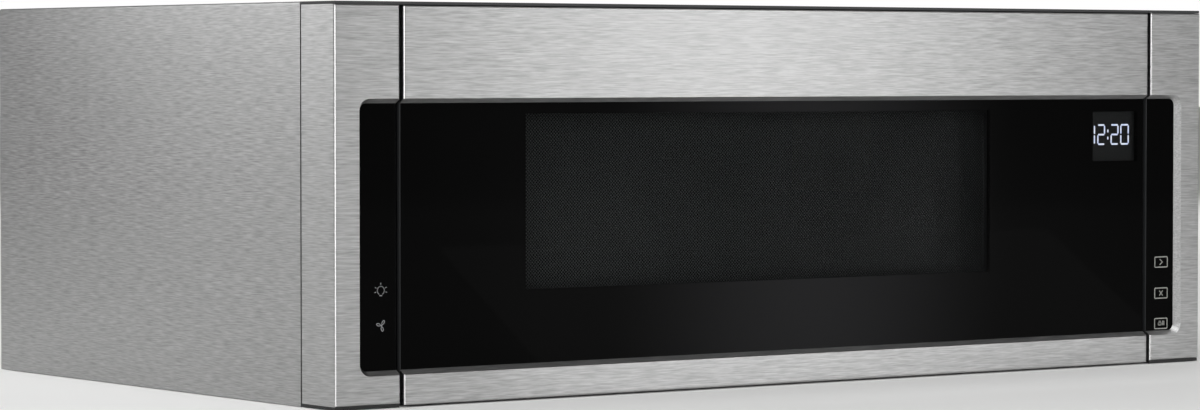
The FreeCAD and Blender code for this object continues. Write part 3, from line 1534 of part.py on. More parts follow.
def damper_frame():
    """Exhaust outlet in the top of the case, with the seat for the damper flap."""
    half = duct_width / 2.0
    top = overall_height
    outer = box(-half - duct_sheet, half + duct_sheet, duct_front_y - duct_sheet, duct_rear_y + duct_sheet,
                duct_low, case_inside_top)
    outlet = box(-half + sheet_gap, half - sheet_gap, duct_front_y + sheet_gap, duct_rear_y - sheet_gap,
                 duct_low + duct_sheet, top)
    inside = box(-half + duct_sheet, half - duct_sheet, duct_front_y + duct_sheet, duct_rear_y - duct_sheet,
                 duct_low + duct_sheet, top + 1.0)
    way = box(-half + flap_ledge, half - flap_ledge, duct_front_y + flap_front_ledge,
              duct_rear_y - flap_rear_ledge, duct_low - 1.0, duct_low + 2.0 * duct_sheet)
    holes = []
    for side in (-1, 1):
        x = side * half
        holes.append(rod_x(flap_pin_radius + running_gap, flap_y(), flap_z(), x - 2.0 * duct_sheet,
                           x + 2.0 * duct_sheet))
    return cut_all(fuse_all([outer, outlet]).cut(inside).cut(way), holes)


def flap_y():
    """Pivot of the damper flap, along Y."""
    return duct_rear_y - duct_sheet - flap_pivot_inset


def flap_z():
    """Pivot of the damper flap, along Z."""
    return duct_low + duct_sheet + flap_pin_radius + seat_gap


def damper_flap():
    """Flap that the blower's air lifts and its weight shuts."""
    half = duct_width / 2.0 - duct_sheet - flap_gap
    plate = box(-half, half, duct_front_y + duct_sheet + flap_gap, flap_y(), flap_z() - flap_thickness / 2.0,
                flap_z() + flap_thickness / 2.0)
    barrel = rod_x(flap_pin_radius, flap_y(), flap_z(), -half, half)
    pin_half = duct_width / 2.0 + flap_pin_tip
    pin = rod_x(flap_pin_radius, flap_y(), flap_z(), -pin_half, pin_half)
    return fuse_all([plate, barrel, pin])


def grease_filter(x):
    """Washable grease filter: mesh in a raised rim, with a pull tab."""
    x0 = x - filter_width / 2.0
    x1 = x + filter_width / 2.0
    y0 = filter_y - filter_length / 2.0
    y1 = filter_y + filter_length / 2.0
    low = filter_low
    outer = box(x0, x1, y0, y1, low, filter_thickness)
    inside = box(x0 + filter_rim, x1 - filter_rim, y0 + filter_rim, y1 - filter_rim, low - 1.0,
                 filter_thickness + 1.0)
    mesh = box(x0 + filter_rim - 0.5, x1 - filter_rim + 0.5, y0 + filter_rim - 0.5, y1 - filter_rim + 0.5,
               low + filter_mesh_rise, low + filter_mesh_rise + filter_mesh)
    half_tab = filter_tab_width / 2.0
    tab_y = y0 + filter_rim / 4.0
    tab = box(x - half_tab, x + half_tab, tab_y, tab_y + filter_tab_length, low, low + filter_tab_height)
    half_hole = half_tab - filter_tab_wall
    hole_y = tab_y + filter_tab_length - filter_tab_wall
    tab_hole = box(x - half_hole, x + half_hole, y0 + filter_rim + 1.0, hole_y, low - 1.0,
                   low + filter_mesh_rise - sheet_gap)
    return fuse_all([outer.cut(inside), mesh, tab]).cut(tab_hole)


def lamp_lenses():
    """Clear windows of the cooktop lamps."""
    lenses = []
    for x in lens_centres():
        half_x = lens_width / 2.0 - sheet_gap
        half_y = lens_length / 2.0 - sheet_gap
        window = box(x - half_x, x + half_x, lens_y - half_y, lens_y + half_y, lens_recess, base_sheet)
        rim = box(x - half_x - lens_rim, x + half_x + lens_rim, lens_y - half_y - lens_rim,
                  lens_y + half_y + lens_rim, base_sheet, base_sheet + lens_thickness)
        lenses.append(fuse_all([window, rim]))
    return Part.makeCompound(lenses)


def cooktop_lamps():
    """Lamp housings over the two lenses."""
    lamps = []
    floor = base_sheet + lens_thickness + sheet_gap
    for x in lens_centres():
        half_x = lens_width / 2.0 - lamp_bezel
        half_y = lens_length / 2.0 - lens_thickness
        housing = box(x - half_x, x + half_x, lens_y - half_y, lens_y + half_y, floor, floor + lamp_depth)
        inside = box(x - half_x + lamp_wall, x + half_x - lamp_wall, lens_y - half_y + lamp_wall,
                     lens_y + half_y - lamp_wall, floor - 1.0, floor + lamp_depth - lamp_roof)
        lamps.append(housing.cut(inside))
    return Part.makeCompound(lamps)


def build_parts():
    """Every piece by its name."""
    left_filter_x, right_filter_x = filter_centres()
    parts = {
        "case_top": case_top(),
        "case_sides": mirrored_pair(case_side()),
        "base_plate": base_plate(),
        "rear_panel": rear_panel(),
        "case_screws": case_screws(),
        "wall_plate": wall_plate(),
        "front_frame": front_frame(),
        "front_frame_latch_side": front_frame_latch_side(),
        "front_columns": mirrored_pair(column_skin()),
        "control_carriers": mirrored_pair(column_carrier()),
        "control_glasses": mirrored_pair(column_glass()),
        "touch_boards": mirrored_pair(touch_board()),
        "top_vent_grille": top_vent_grille(),
        "charcoal_filter": charcoal_filter(),
        "cord_inlet_bushing": cord_inlet_bushing(),
        "door_hinges": door_hinges(),
        "door_top_band": door_top_band(),
        "door_bottom_band": door_bottom_band(),
        "door_glass": door_glass(),
        "door_frame": door_frame(),
        "display_module": display_module(),
        "door_choke_panel": door_choke_panel(),
        "door_screen": door_screen(),
        "door_inner_window": door_inner_window(),
        "door_inner_cover": door_inner_cover(),
        "latch_hooks": latch_hooks(),
        "latch_spring": latch_spring(),
        "latch_board": latch_board(),
        "interlock_plungers": interlock_plungers(),
        "interlock_switches": interlock_switches(),
        "cavity_liner": cavity_liner(),
        "oven_floor": oven_floor(),
        "cavity_lamp": cavity_lamp(),
        "waveguide_cover": waveguide_cover(),
        "waveguide": waveguide(),
        "magnetron": magnetron(),
        "inverter_power_supply": inverter_power_supply(),
        "control_board": control_board(),
        "fan_baffle": fan_baffle(),
        "cooling_fan": cooling_fan(),
        "fan_motor": fan_motor(),
        "turntable_motor": turntable_motor(),
        "turntable_shaft": turntable_shaft(),
        "turntable_coupler": turntable_coupler(),
        "turntable_plate": turntable_plate(),
        "turntable_drive_studs": turntable_drive_studs(),
        "roller_ring": roller_ring(),
        "blower_housing": blower_housing(),
        "blower_motor": blower_motor(),
        "blower_shaft": blower_shaft(),
        "blower_wheels": blower_wheels(),
        "damper_frame": damper_frame(),
        "damper_flap": damper_flap(),
        "grease_filter_left": grease_filter(left_filter_x),
        "grease_filter_right": grease_filter(right_filter_x),
        "lamp_lenses": lamp_lenses(),
        "cooktop_lamps": cooktop_lamps(),
    }
    for index in range(3):
        parts["roller_%d" % (index + 1)] = roller(index)
    return parts


def main():
    """Write one STEP file for each piece."""
    os.makedirs("parts", exist_ok=True)
    for name, shape in build_parts().items():
        shape.exportStep("parts/%s.step" % name)
        facts = (name, len(shape.Solids), shape.isValid(), shape.Volume)
        print("%-24s solids %d valid %s volume %.0f" % facts)


main()
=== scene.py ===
import logging
import math
from dataclasses import dataclass
from enum import Enum
from functools import lru_cache

import bmesh
import bpy
from mathutils import Matrix, Vector


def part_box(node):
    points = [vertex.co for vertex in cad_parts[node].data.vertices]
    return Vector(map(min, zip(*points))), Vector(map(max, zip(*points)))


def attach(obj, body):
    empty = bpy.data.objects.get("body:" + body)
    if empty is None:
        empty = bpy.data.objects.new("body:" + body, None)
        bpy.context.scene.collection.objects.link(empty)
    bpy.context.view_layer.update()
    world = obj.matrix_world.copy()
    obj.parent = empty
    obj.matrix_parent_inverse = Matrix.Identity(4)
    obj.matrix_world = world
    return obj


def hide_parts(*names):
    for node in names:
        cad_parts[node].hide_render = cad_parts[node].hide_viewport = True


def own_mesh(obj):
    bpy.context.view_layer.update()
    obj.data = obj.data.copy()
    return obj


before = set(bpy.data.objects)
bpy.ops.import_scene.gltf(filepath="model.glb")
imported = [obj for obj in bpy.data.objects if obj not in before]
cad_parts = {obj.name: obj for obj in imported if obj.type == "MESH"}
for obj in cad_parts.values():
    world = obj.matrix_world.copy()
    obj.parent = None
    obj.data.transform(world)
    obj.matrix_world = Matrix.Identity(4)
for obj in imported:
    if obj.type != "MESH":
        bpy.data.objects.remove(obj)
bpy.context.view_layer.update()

log = logging.getLogger("microwave")

Colour = tuple[float, float, float, float]
Point = tuple[float, float, float]
Span = tuple[float, float]
Source = bpy.types.Node | bpy.types.NodeSocket

# Nearly all values of a noise lie between these two.
NOISE_REACH = (0.3, 0.7)
WHITE = (1.0, 1.0, 1.0, 1.0)
UP = (0.0, 0.0, 1.0)
TO_WORLD = {"vector_type": "VECTOR", "convert_from": "OBJECT", "convert_to": "WORLD"}


class Segment(Enum):
    """Bars of one clock digit, as middle and half length in halves of the digit's width and height."""

    TOP = ((0.0, 1.0), (1.0, 0.0))
    TOP_LEFT = ((-1.0, 0.5), (0.0, 0.5))
    TOP_RIGHT = ((1.0, 0.5), (0.0, 0.5))
    MIDDLE = ((0.0, 0.0), (1.0, 0.0))
    LOW_LEFT = ((-1.0, -0.5), (0.0, 0.5))
    LOW_RIGHT = ((1.0, -0.5), (0.0, 0.5))
    BOTTOM = ((0.0, -1.0), (1.0, 0.0))


class KeySign(Enum):
    """Sign inside a touch key, as strokes in millimetres from the key's middle."""

    START = (((-1.2, 1.9), (1.4, 0.0)), ((1.4, 0.0), (-1.2, -1.9)))
    CLEAR = (((-1.5, 1.6), (1.5, -1.6)), ((-1.5, -1.6), (1.5, 1.6)))
    LOCK = (((-2.6, -1.1), (0.4, -1.1)), ((-2.6, 0.5), (0.4, 0.5)), ((-2.6, -1.1), (-2.6, 0.5)),
            ((0.4, -1.1), (0.4, 0.5)), ((-1.9, 0.5), (-1.9, 1.7)), ((-1.9, 1.7), (-0.3, 1.7)),
            ((-0.3, 1.7), (-0.3, 0.5)), ((1.7, -1.1), (1.7, 1.7)), ((3.1, -1.1), (3.1, 1.7)))


def mm(value: float) -> float:
    """Millimetres as metres."""
    return value / 1000.0


def per_metre(size: float) -> float:
    """Scale of a pattern whose features have a size in millimetres."""
    return 1000.0 / size


def at(x: float, y: float, z: float) -> Vector:
    """Point given in millimetres, in metres."""
    return Vector((mm(x), mm(y), mm(z)))


def linear(code: str) -> Colour:
    """Turn an sRGB hex colour to linear.

    Args:
        code: Six hex digits after a hash sign.

    Returns:
        The linear colour with full alpha.
    """
    parts = [int(code[i:i + 2], 16) / 255.0 for i in (1, 3, 5)]
    light = [p / 12.92 if p <= 0.04045 else ((p + 0.055) / 1.055) ** 2.4 for p in parts]
    return (light[0], light[1], light[2], 1.0)


def add_node(tree: bpy.types.NodeTree, kind: str, inputs: tuple | dict = (), **settings) -> bpy.types.Node:
    """Add one shader node with its settings and links.

    Args:
        tree: Node tree that it goes into.
        kind: Type name of the node, without its "ShaderNode".
        inputs: Values, sockets or nodes, by name or index, or in order from the first input.
        settings: Attributes of the node itself.

    Returns:
        The new node.
    """
    node = tree.nodes.new("ShaderNode" + kind)
    for name, value in settings.items():
        setattr(node, name, value)
    for name, value in inputs.items() if isinstance(inputs, dict) else enumerate(inputs):
        source = value.outputs[0] if isinstance(value, bpy.types.Node) else value
        if isinstance(source, bpy.types.NodeSocket):
            tree.links.new(source, node.inputs[name])
        else:
            node.inputs[name].default_value = source
    return node


# ---------------------------------------------------------------- finishes


@dataclass(frozen=True)
class Finish:
    """What every finish has: a name and the two ends of its colour."""

    name: str
    dark: str
    light: str

    def start(self) -> tuple[bpy.types.Material, bpy.types.NodeTree, bpy.types.NodeSocket]:
        """Make an empty material.

        Returns:
            The material, its tree and the place of the shaded point on the piece.
        """
        material = bpy.data.materials.new(self.name)
        material.use_nodes = True
        tree = material.node_tree
        tree.nodes.clear()
        return material, tree, add_node(tree, "TexCoord").outputs["Object"]

    def colour(self, tree: bpy.types.NodeTree, pattern: Source, reach: Span = NOISE_REACH) -> bpy.types.NodeSocket:
        """Go from the dark to the light end of the colour as a pattern rises.

        Args:
            tree: Tree of the material.
            pattern: Node or socket with the pattern.
            reach: Values of the pattern at the two ends.

        Returns:
            Socket with the colour.
        """
        share = add_node(tree, "MapRange", (pattern, *reach, 0.0, 1.0))
        ends = {0: share, 6: linear(self.dark), 7: linear(self.light)}
        return add_node(tree, "Mix", ends, data_type="RGBA").outputs[2]

    def streaks(self, tree: bpy.types.NodeTree, place: Source, size: Point, detail: float = 2.0) -> bpy.types.Node:
        """Draw noise with a feature size of its own along each direction.

        Args:
            tree: Tree of the material.
            place: Coordinates that it follows.
            size: Size of one feature in X, Y and Z, in millimetres.
            detail: Number of finer octaves.

        Returns:
            The noise.
        """
        mapped = add_node(tree, "Mapping", {"Vector": place, "Scale": tuple(per_metre(s) for s in size)})
        return add_node(tree, "TexNoise", {"Vector": mapped, "Scale": 1.0, "Detail": detail})

    def sideways(self, tree: bpy.types.NodeTree) -> bpy.types.Node:
        """Tell faces that are turned to the left or right from the others.

        Args:
            tree: Tree of the material.

        Returns:
            Node that is 1 on such faces and 0 elsewhere.
        """
        facing = add_node(tree, "SeparateXYZ", (add_node(tree, "TexCoord").outputs["Normal"],))
        turn = add_node(tree, "Math", (facing,), operation="ABSOLUTE")
        return add_node(tree, "Math", (turn, 0.7), operation="GREATER_THAN")

    def build(self) -> bpy.types.Material:
        """Make the material; each finish has its own."""
        raise NotImplementedError


@dataclass(frozen=True)
class BrushedSteel(Finish):
    """Stainless sheet brushed with a belt: short fine level lines, and highlights drawn out across them."""

    roughness: float = 0.34
    swing: float = 0.03
    # Belt lines are 0.1 to 0.2 mm wide, too fine for the render, so they are drawn 0.7 mm wide.
    line_width: float = 0.7
    line_length: float = 13.0
    line_reach: Span = (0.26, 0.74)
    relief: float = 0.0008

    def build(self) -> bpy.types.Material:
        """Make the brushed steel.

        Returns:
            The material.
        """
        material, tree, place = self.start()
        wide = self.streaks(tree, place, (self.line_length, self.line_width, self.line_width))
        deep = self.streaks(tree, place, (self.line_width, self.line_length, self.line_width))
        # The lines run along the width, and towards the back on faces turned sideways.
        lines = add_node(tree, "Mix", {0: self.sideways(tree), 2: wide, 3: deep})
        dull = (self.roughness - self.swing, self.roughness + self.swing)
        shader = add_node(tree, "BsdfPrincipled", {
            "Base Color": self.colour(tree, lines, self.line_reach), "Metallic": 1.0, "Anisotropic": 0.6,
            "Tangent": add_node(tree, "VectorTransform", (UP,), **TO_WORLD),
            "Roughness": add_node(tree, "MapRange", (lines, *NOISE_REACH, *dull)),
            "Normal": add_node(tree, "Bump", {"Height": lines, "Strength": 1.0, "Distance": mm(self.relief)}),
        })
        add_node(tree, "OutputMaterial", (shader,))
        return material


@dataclass(frozen=True)
class GalvanisedSheet(Finish):
    """Hot-dip galvanised steel: dull grey metal with frosty flakes of zinc."""

    flake: float = 9.0
    wave: float = 6.0
    relief: float = 0.02

    def build(self) -> bpy.types.Material:
        """Make the galvanised sheet.

        Returns:
            The material.
        """
        material, tree, place = self.start()
        warp = add_node(tree, "TexNoise", {"Vector": place, "Scale": per_metre(self.wave)})
        flakes = add_node(tree, "TexVoronoi", {"Vector": place, "Scale": per_metre(self.flake)})
        tone = add_node(tree, "SeparateColor", (flakes.outputs["Color"],))
        mixed = add_node(tree, "Math", (tone, warp), operation="ADD")
        shader = add_node(tree, "BsdfPrincipled", {
            "Base Color": self.colour(tree, mixed, (0.3, 1.6)), "Metallic": 1.0,
            "Roughness": add_node(tree, "MapRange", (tone, 0.0, 1.0, 0.36, 0.5)),
            "Normal": add_node(tree, "Bump", {"Height": warp, "Strength": 1.0, "Distance": mm(self.relief)}),
        })
        add_node(tree, "OutputMaterial", (shader,))
        return material


@dataclass(frozen=True)
class PlainMetal(Finish):
    """Plated, rolled or machined metal: a soft shine with faint clouds and fine scratches."""

    roughness: float = 0.32
    cloud: float = 12.0
    scratch: float = 0.7
    relief: float = 0.004

    def build(self) -> bpy.types.Material:
        """Make the metal.

        Returns:
            The material.
        """
        material, tree, place = self.start()
        clouds = add_node(tree, "TexNoise", {"Vector": place, "Scale": per_metre(self.cloud), "Detail": 3.0})
        scratches = self.streaks(tree, place, (self.scratch * 12.0, self.scratch, self.scratch))
        dull = (self.roughness - 0.06, self.roughness + 0.08)
        shader = add_node(tree, "BsdfPrincipled", {
            "Base Color": self.colour(tree, clouds), "Metallic": 1.0,
            "Roughness": add_node(tree, "MapRange", (clouds, *NOISE_REACH, *dull)),
            "Normal": add_node(tree, "Bump", {"Height": scratches, "Strength": 1.0, "Distance": mm(self.relief)}),
        })
        add_node(tree, "OutputMaterial", (shader,))
        return material


@dataclass(frozen=True)
class PowderPaint(Finish):
    """Powder-coated steel: a satin coat with the gentle waves called orange peel."""

    roughness: float = 0.42
    # The waves of the coat are 1 to 2 mm long.
    peel: float = 1.6
    cloud: float = 45.0
    relief: float = 0.03

    def build(self) -> bpy.types.Material:
        """Make the paint.

        Returns:
            The material.
        """
        material, tree, place = self.start()
        waves = add_node(tree, "TexNoise", {"Vector": place, "Scale": per_metre(self.peel), "Detail": 1.0})
        clouds = add_node(tree, "TexNoise", {"Vector": place, "Scale": per_metre(self.cloud)})
        dull = (self.roughness - 0.05, self.roughness + 0.07)
        shader = add_node(tree, "BsdfPrincipled", {
            "Base Color": self.colour(tree, clouds), "IOR": 1.5,
            "Roughness": add_node(tree, "MapRange", (waves, *NOISE_REACH, *dull)),
            "Normal": add_node(tree, "Bump", {"Height": waves, "Strength": 1.0, "Distance": mm(self.relief)}),
        })
        add_node(tree, "OutputMaterial", (shader,))
        return material


@dataclass(frozen=True)
class MouldedPlastic(Finish):
    """Injection-moulded ABS or nylon: an even satin with the fine pits of an etched mould."""

    roughness: float = 0.45
    # Mould texture is 0.1 to 0.3 mm wide and is drawn 0.8 mm wide so that it shows.
    pit: float = 0.8
    cloud: float = 30.0
    relief: float = 0.012

    def build(self) -> bpy.types.Material:
        """Make the plastic.

        Returns:
            The material.
        """
        material, tree, place = self.start()
        pits = add_node(tree, "TexVoronoi", {"Vector": place, "Scale": per_metre(self.pit)}, feature="SMOOTH_F1")
        clouds = add_node(tree, "TexNoise", {"Vector": place, "Scale": per_metre(self.cloud)})
        dull = (self.roughness - 0.04, self.roughness + 0.05)
        shader = add_node(tree, "BsdfPrincipled", {
            "Base Color": self.colour(tree, clouds), "IOR": 1.53,
            "Roughness": add_node(tree, "MapRange", (clouds, *NOISE_REACH, *dull)),
            "Normal": add_node(tree, "Bump", {"Height": pits, "Strength": 1.0, "Distance": mm(self.relief)}),
        })
        add_node(tree, "OutputMaterial", (shader,))
        return material


@dataclass(frozen=True)
class PrintedGlass(Finish):
    """Toughened glass with a black ceramic print on its back, left clear where there is something to see."""

    # Clear areas, each as middle X, middle Z, half width and half height.
    clear: tuple[tuple[float, float, float, float], ...] = ()
    tint: str = "#dcdddd"
    # Share of the usual reflection that the dark coated glass keeps.
    shine: float = 0.05
    # The coating draws most of the reflection out into a soft upright glow; a thin sharp one stays on top.
    blur: float = 0.33
    gleam: float = 0.03
    # Painted reflection: the base colour is black at the sides of the glass and turns a dark grey round the middle
    # of the oven.
    reflection_middle: float = 15.0
    reflection_reach: float = 190.0
    # The cut edges of the glass are ground, which leaves them paler.
    ground: str = "#272829"
    haze: Point = (220.0, 220.0, 120.0)

    def build(self) -> bpy.types.Material:
        """Make the glass.

        Returns:
            The material.
        """
        material, tree, place = self.start()
        haze = self.streaks(tree, place, self.haze, 1.0)
        axes = add_node(tree, "SeparateXYZ", (place,))
        # Painted reflection: the colour rises from the dark end to the light end near the middle of the oven.
        away = add_node(tree, "Math", (axes, mm(self.reflection_middle)), operation="SUBTRACT")
        far = add_node(tree, "Math", (away,), operation="ABSOLUTE")
        painted_reflection = add_node(tree, "MapRange", (far, 0.0, mm(self.reflection_reach), 1.0, 0.0),
                        interpolation_type="SMOOTHSTEP")
        edged = {0: self.sideways(tree), 6: self.colour(tree, painted_reflection, (0.0, 1.0)), 7: linear(self.ground)}
        shader = add_node(tree, "BsdfPrincipled", {
            "Base Color": add_node(tree, "Mix", edged, data_type="RGBA").outputs[2], "IOR": 1.5,
            "Specular IOR Level": 0.5 * self.shine, "Anisotropic": 0.7,
            "Tangent": add_node(tree, "VectorTransform", (UP,), **TO_WORLD),
            "Roughness": add_node(tree, "MapRange", (haze, *NOISE_REACH, self.blur - 0.02, self.blur + 0.02)),
            "Coat Weight": self.gleam, "Coat Roughness": 0.04,
        })
        for x, z, half_x, half_z in self.clear:
            across = add_node(tree, "Math", (axes.outputs[0], mm(x), mm(half_x)), operation="COMPARE")
            upward = add_node(tree, "Math", (axes.outputs[2], mm(z), mm(half_z)), operation="COMPARE")
            inside = add_node(tree, "Math", (across, upward), operation="MULTIPLY")
            shader = add_node(tree, "MixShader", (inside, shader, self.pane(tree)))
        add_node(tree, "OutputMaterial", (shader,))
        return material

    def pane(self, tree: bpy.types.NodeTree) -> bpy.types.Node:
        """Let light straight through the clear part of the glass and mirror a little.

        Args:
            tree: Tree of the material.

        Returns:
            The shader node.
        """
        through = add_node(tree, "BsdfTransparent", {"Color": linear(self.tint)})
        mirror = add_node(tree, "BsdfGlossy", {"Color": WHITE, "Roughness": self.blur})
        share = add_node(tree, "Fresnel", {"IOR": 1.5})
        back = add_node(tree, "NewGeometry").outputs["Backfacing"]
        front = add_node(tree, "Math", (1.0, back), operation="SUBTRACT")
        facing = add_node(tree, "Math", (share, front), operation="MULTIPLY")
        part = add_node(tree, "Math", (facing, self.shine), operation="MULTIPLY")
        return add_node(tree, "MixShader", (part, through, mirror))


@dataclass(frozen=True)
class ClearSheet(PrintedGlass):
    """Clear window sheet or bare glass: a faint tint, a thin shine and a trace of dust."""

    dust: float = 25.0
    film: Span = (0.01, 0.04)

    def build(self) -> bpy.types.Material:
        """Make the clear sheet.

        Returns:
            The material.
        """
        material, tree, place = self.start()
        dust = add_node(tree, "TexNoise", {"Vector": place, "Scale": per_metre(self.dust), "Detail": 4.0})
        film = add_node(tree, "BsdfPrincipled", {"Base Color": linear(self.light), "Roughness": 0.3, "IOR": 1.5})
        share = add_node(tree, "MapRange", (dust, *NOISE_REACH, *self.film))
        add_node(tree, "OutputMaterial", (add_node(tree, "MixShader", (share, self.pane(tree), film)),))
        return material


@dataclass(frozen=True)
class PerforatedScreen(Finish):
    """Black-painted steel with rows of small round holes that stand between each other."""

    # The real holes are 1.3 mm wide and 1.8 mm apart, drawn a third coarser so that they show.
    pitch: float = 2.4
    hole: float = 1.6
    wear: float = 60.0

    def build(self) -> bpy.types.Material:
        """Make the perforated screen.

        Returns:
            The material.
        """
        material, tree, place = self.start()
        cell = self.pitch / math.sqrt(2.0)
        axes = add_node(tree, "SeparateXYZ", (place,))
        flat = add_node(tree, "CombineXYZ", (axes.outputs[0], axes.outputs[2]))
        turned = add_node(tree, "Mapping", {"Vector": flat, "Rotation": (0.0, 0.0, math.radians(45.0))})
        dots = add_node(tree, "TexVoronoi", {"Vector": turned, "Scale": per_metre(cell), "Randomness": 0.0},
                        voronoi_dimensions="2D")
        solid = add_node(tree, "Math", (dots, self.hole / 2.0 / cell), operation="GREATER_THAN")
        wear = add_node(tree, "TexNoise", {"Vector": place, "Scale": per_metre(self.wear), "Detail": 3.0})
        paint = add_node(tree, "BsdfPrincipled",
                         {"Base Color": self.colour(tree, wear), "Roughness": 0.5, "IOR": 1.5})
        shader = add_node(tree, "MixShader", (solid, add_node(tree, "BsdfTransparent"), paint))
        add_node(tree, "OutputMaterial", (shader,))
        return material


@dataclass(frozen=True)
class Enamel(Finish):
    """Fired enamel on steel: hard and glossy, with fine dark and pale specks in it."""

    speck: float = 1.6
    dark_speck: str = "#3c3e40"
    pale_speck: str = "#e6e7e6"
    cloud: float = 90.0
    wave: float = 8.0
    dimple: float = 7.0
    relief: float = 0.02

    def build(self) -> bpy.types.Material:
        """Make the enamel.

        Returns:
            The material.
        """
        material, tree, place = self.start()
        spots = add_node(tree, "TexVoronoi", {"Vector": place, "Scale": per_metre(self.speck)})
        pick = add_node(tree, "SeparateColor", (spots.outputs["Color"],))
        near = add_node(tree, "MapRange", (spots, 0.16, 0.24, 1.0, 0.0))
        clouds = add_node(tree, "TexNoise", {"Vector": place, "Scale": per_metre(self.cloud)})
        colour = self.colour(tree, clouds, (0.0, 1.0))
        # A cell gets a speck where its own random value passes the limit.
        for channel, limit, tone in ((0, 0.72, self.dark_speck), (1, 0.8, self.pale_speck)):
            picked = add_node(tree, "Math", (pick.outputs[channel], limit), operation="GREATER_THAN")
            spot = add_node(tree, "Math", (near, picked), operation="MULTIPLY")
            colour = add_node(tree, "Mix", {0: spot, 6: colour, 7: linear(tone)}, data_type="RGBA").outputs[2]
        waves = add_node(tree, "TexNoise", {"Vector": place, "Scale": per_metre(self.wave)})
        dimples = add_node(tree, "TexNoise", {"Vector": place, "Scale": per_metre(self.dimple), "Detail": 1.0})
        shader = add_node(tree, "BsdfPrincipled", {
            "Base Color": colour, "IOR": 1.52, "Coat Weight": 0.3,
            "Roughness": add_node(tree, "MapRange", (waves, *NOISE_REACH, 0.2, 0.28)),
            "Normal": add_node(tree, "Bump", {"Height": dimples, "Strength": 1.0, "Distance": mm(self.relief)}),
        })
        add_node(tree, "OutputMaterial", (shader,))
        return material


@dataclass(frozen=True)
class GrainyBlock(Finish):
    """Loose or flaky stuff such as charcoal granules or mica: each grain has its own tone and face."""

    grain: float = 2.4
    relief: float = 0.5
    roughness: float = 0.8

    def build(self) -> bpy.types.Material:
        """Make the grainy material.

        Returns:
            The material.
        """
        material, tree, place = self.start()
        grains = add_node(tree, "TexVoronoi", {"Vector": place, "Scale": per_metre(self.grain)})
        tone = add_node(tree, "SeparateColor", (grains.outputs["Color"],))
        shader = add_node(tree, "BsdfPrincipled", {
            "Base Color": self.colour(tree, tone, (0.0, 1.0)), "IOR": 1.55,
            "Roughness": add_node(tree, "MapRange", (tone, 0.0, 1.0, self.roughness - 0.15, self.roughness)),
            "Normal": add_node(tree, "Bump", {"Height": grains, "Strength": 1.0, "Distance": mm(self.relief)}),
        })
        add_node(tree, "OutputMaterial", (shader,))
        return material


@dataclass(frozen=True)
class CircuitBoard(Finish):
    """Glass-fibre board under green lacquer: copper tracks show through as paler lines."""

    track: float = 2.2
    relief: float = 0.03

    def build(self) -> bpy.types.Material:
        """Make the circuit board.

        Returns:
            The material.
        """
        material, tree, place = self.start()
        lattice = add_node(tree, "TexVoronoi", {"Vector": place, "Scale": per_metre(self.track * 3.0)},
                           feature="DISTANCE_TO_EDGE")
        tracks = add_node(tree, "MapRange", (lattice.outputs["Distance"], 0.1, 0.16, 1.0, 0.0))
        shader = add_node(tree, "BsdfPrincipled", {
            "Base Color": self.colour(tree, tracks, (0.0, 1.0)), "Roughness": 0.35, "IOR": 1.55,
            "Normal": add_node(tree, "Bump", {"Height": tracks, "Strength": 1.0, "Distance": mm(self.relief)}),
        })
        add_node(tree, "OutputMaterial", (shader,))
        return material


@dataclass(frozen=True)
class FrostedLens(Finish):
    """Clear polycarbonate with a frosted back: it passes light and blurs what is behind it."""

    frost: float = 1.2

    def build(self) -> bpy.types.Material:
        """Make the lens plastic.

        Returns:
            The material.
        """
        material, tree, place = self.start()
        frost = add_node(tree, "TexNoise", {"Vector": place, "Scale": per_metre(self.frost)})
        shader = add_node(tree, "BsdfPrincipled", {
            "Base Color": self.colour(tree, frost), "IOR": 1.58, "Transmission Weight": 0.35,
            "Roughness": add_node(tree, "MapRange", (frost, *NOISE_REACH, 0.25, 0.4)),
        })
        add_node(tree, "OutputMaterial", (shader,))
        return material


@dataclass(frozen=True)
class Ink(Finish):
    """Screen-printed ceramic ink: thin, matt and a little uneven."""

    grain: float = 0.9

    def build(self) -> bpy.types.Material:
        """Make the ink.

        Returns:
            The material.
        """
        material, tree, place = self.start()
        grain = add_node(tree, "TexNoise", {"Vector": place, "Scale": per_metre(self.grain)})
        shader = add_node(tree, "BsdfPrincipled",
                          {"Base Color": self.colour(tree, grain), "Roughness": 0.55, "IOR": 1.5})
        add_node(tree, "OutputMaterial", (shader,))
        return material


@dataclass(frozen=True)
class DigitGlow(Finish):
    """Light-emitting bar behind a diffuser: white with a cool edge where the light thins out."""

    strength: float = 1.8
    patch: float = 3.5
    body: str = "#272727"

    def build(self) -> bpy.types.Material:
        """Make the glowing bar.

        Returns:
            The material.
        """
        material, tree, place = self.start()
        patch = add_node(tree, "TexNoise", {"Vector": place, "Scale": per_metre(self.patch), "Detail": 1.0})
        shader = add_node(tree, "BsdfPrincipled", {
            "Base Color": linear(self.body), "Roughness": 0.6, "Emission Color": self.colour(tree, patch),
            "Emission Strength": self.strength,
        })
        add_node(tree, "OutputMaterial", (shader,))
        return material


@dataclass(frozen=True)
class StudioPaper(Finish):
    """Matt white paper of the studio floor, with the faintest mottling."""

    mottle: float = 300.0

    def build(self) -> bpy.types.Material:
        """Make the paper.

        Returns:
            The material.
        """
        material, tree, place = self.start()
        mottle = add_node(tree, "TexNoise", {"Vector": place, "Scale": per_metre(self.mottle)})
        shader = add_node(tree, "BsdfPrincipled",
                          {"Base Color": self.colour(tree, mottle, (0.0, 1.0)), "Roughness": 0.9})
        add_node(tree, "OutputMaterial", (shader,))
        return material


@lru_cache(maxsize=None)
def material_of(finish: Finish) -> bpy.types.Material:
    """Material of a finish, made once."""
    return finish.build()


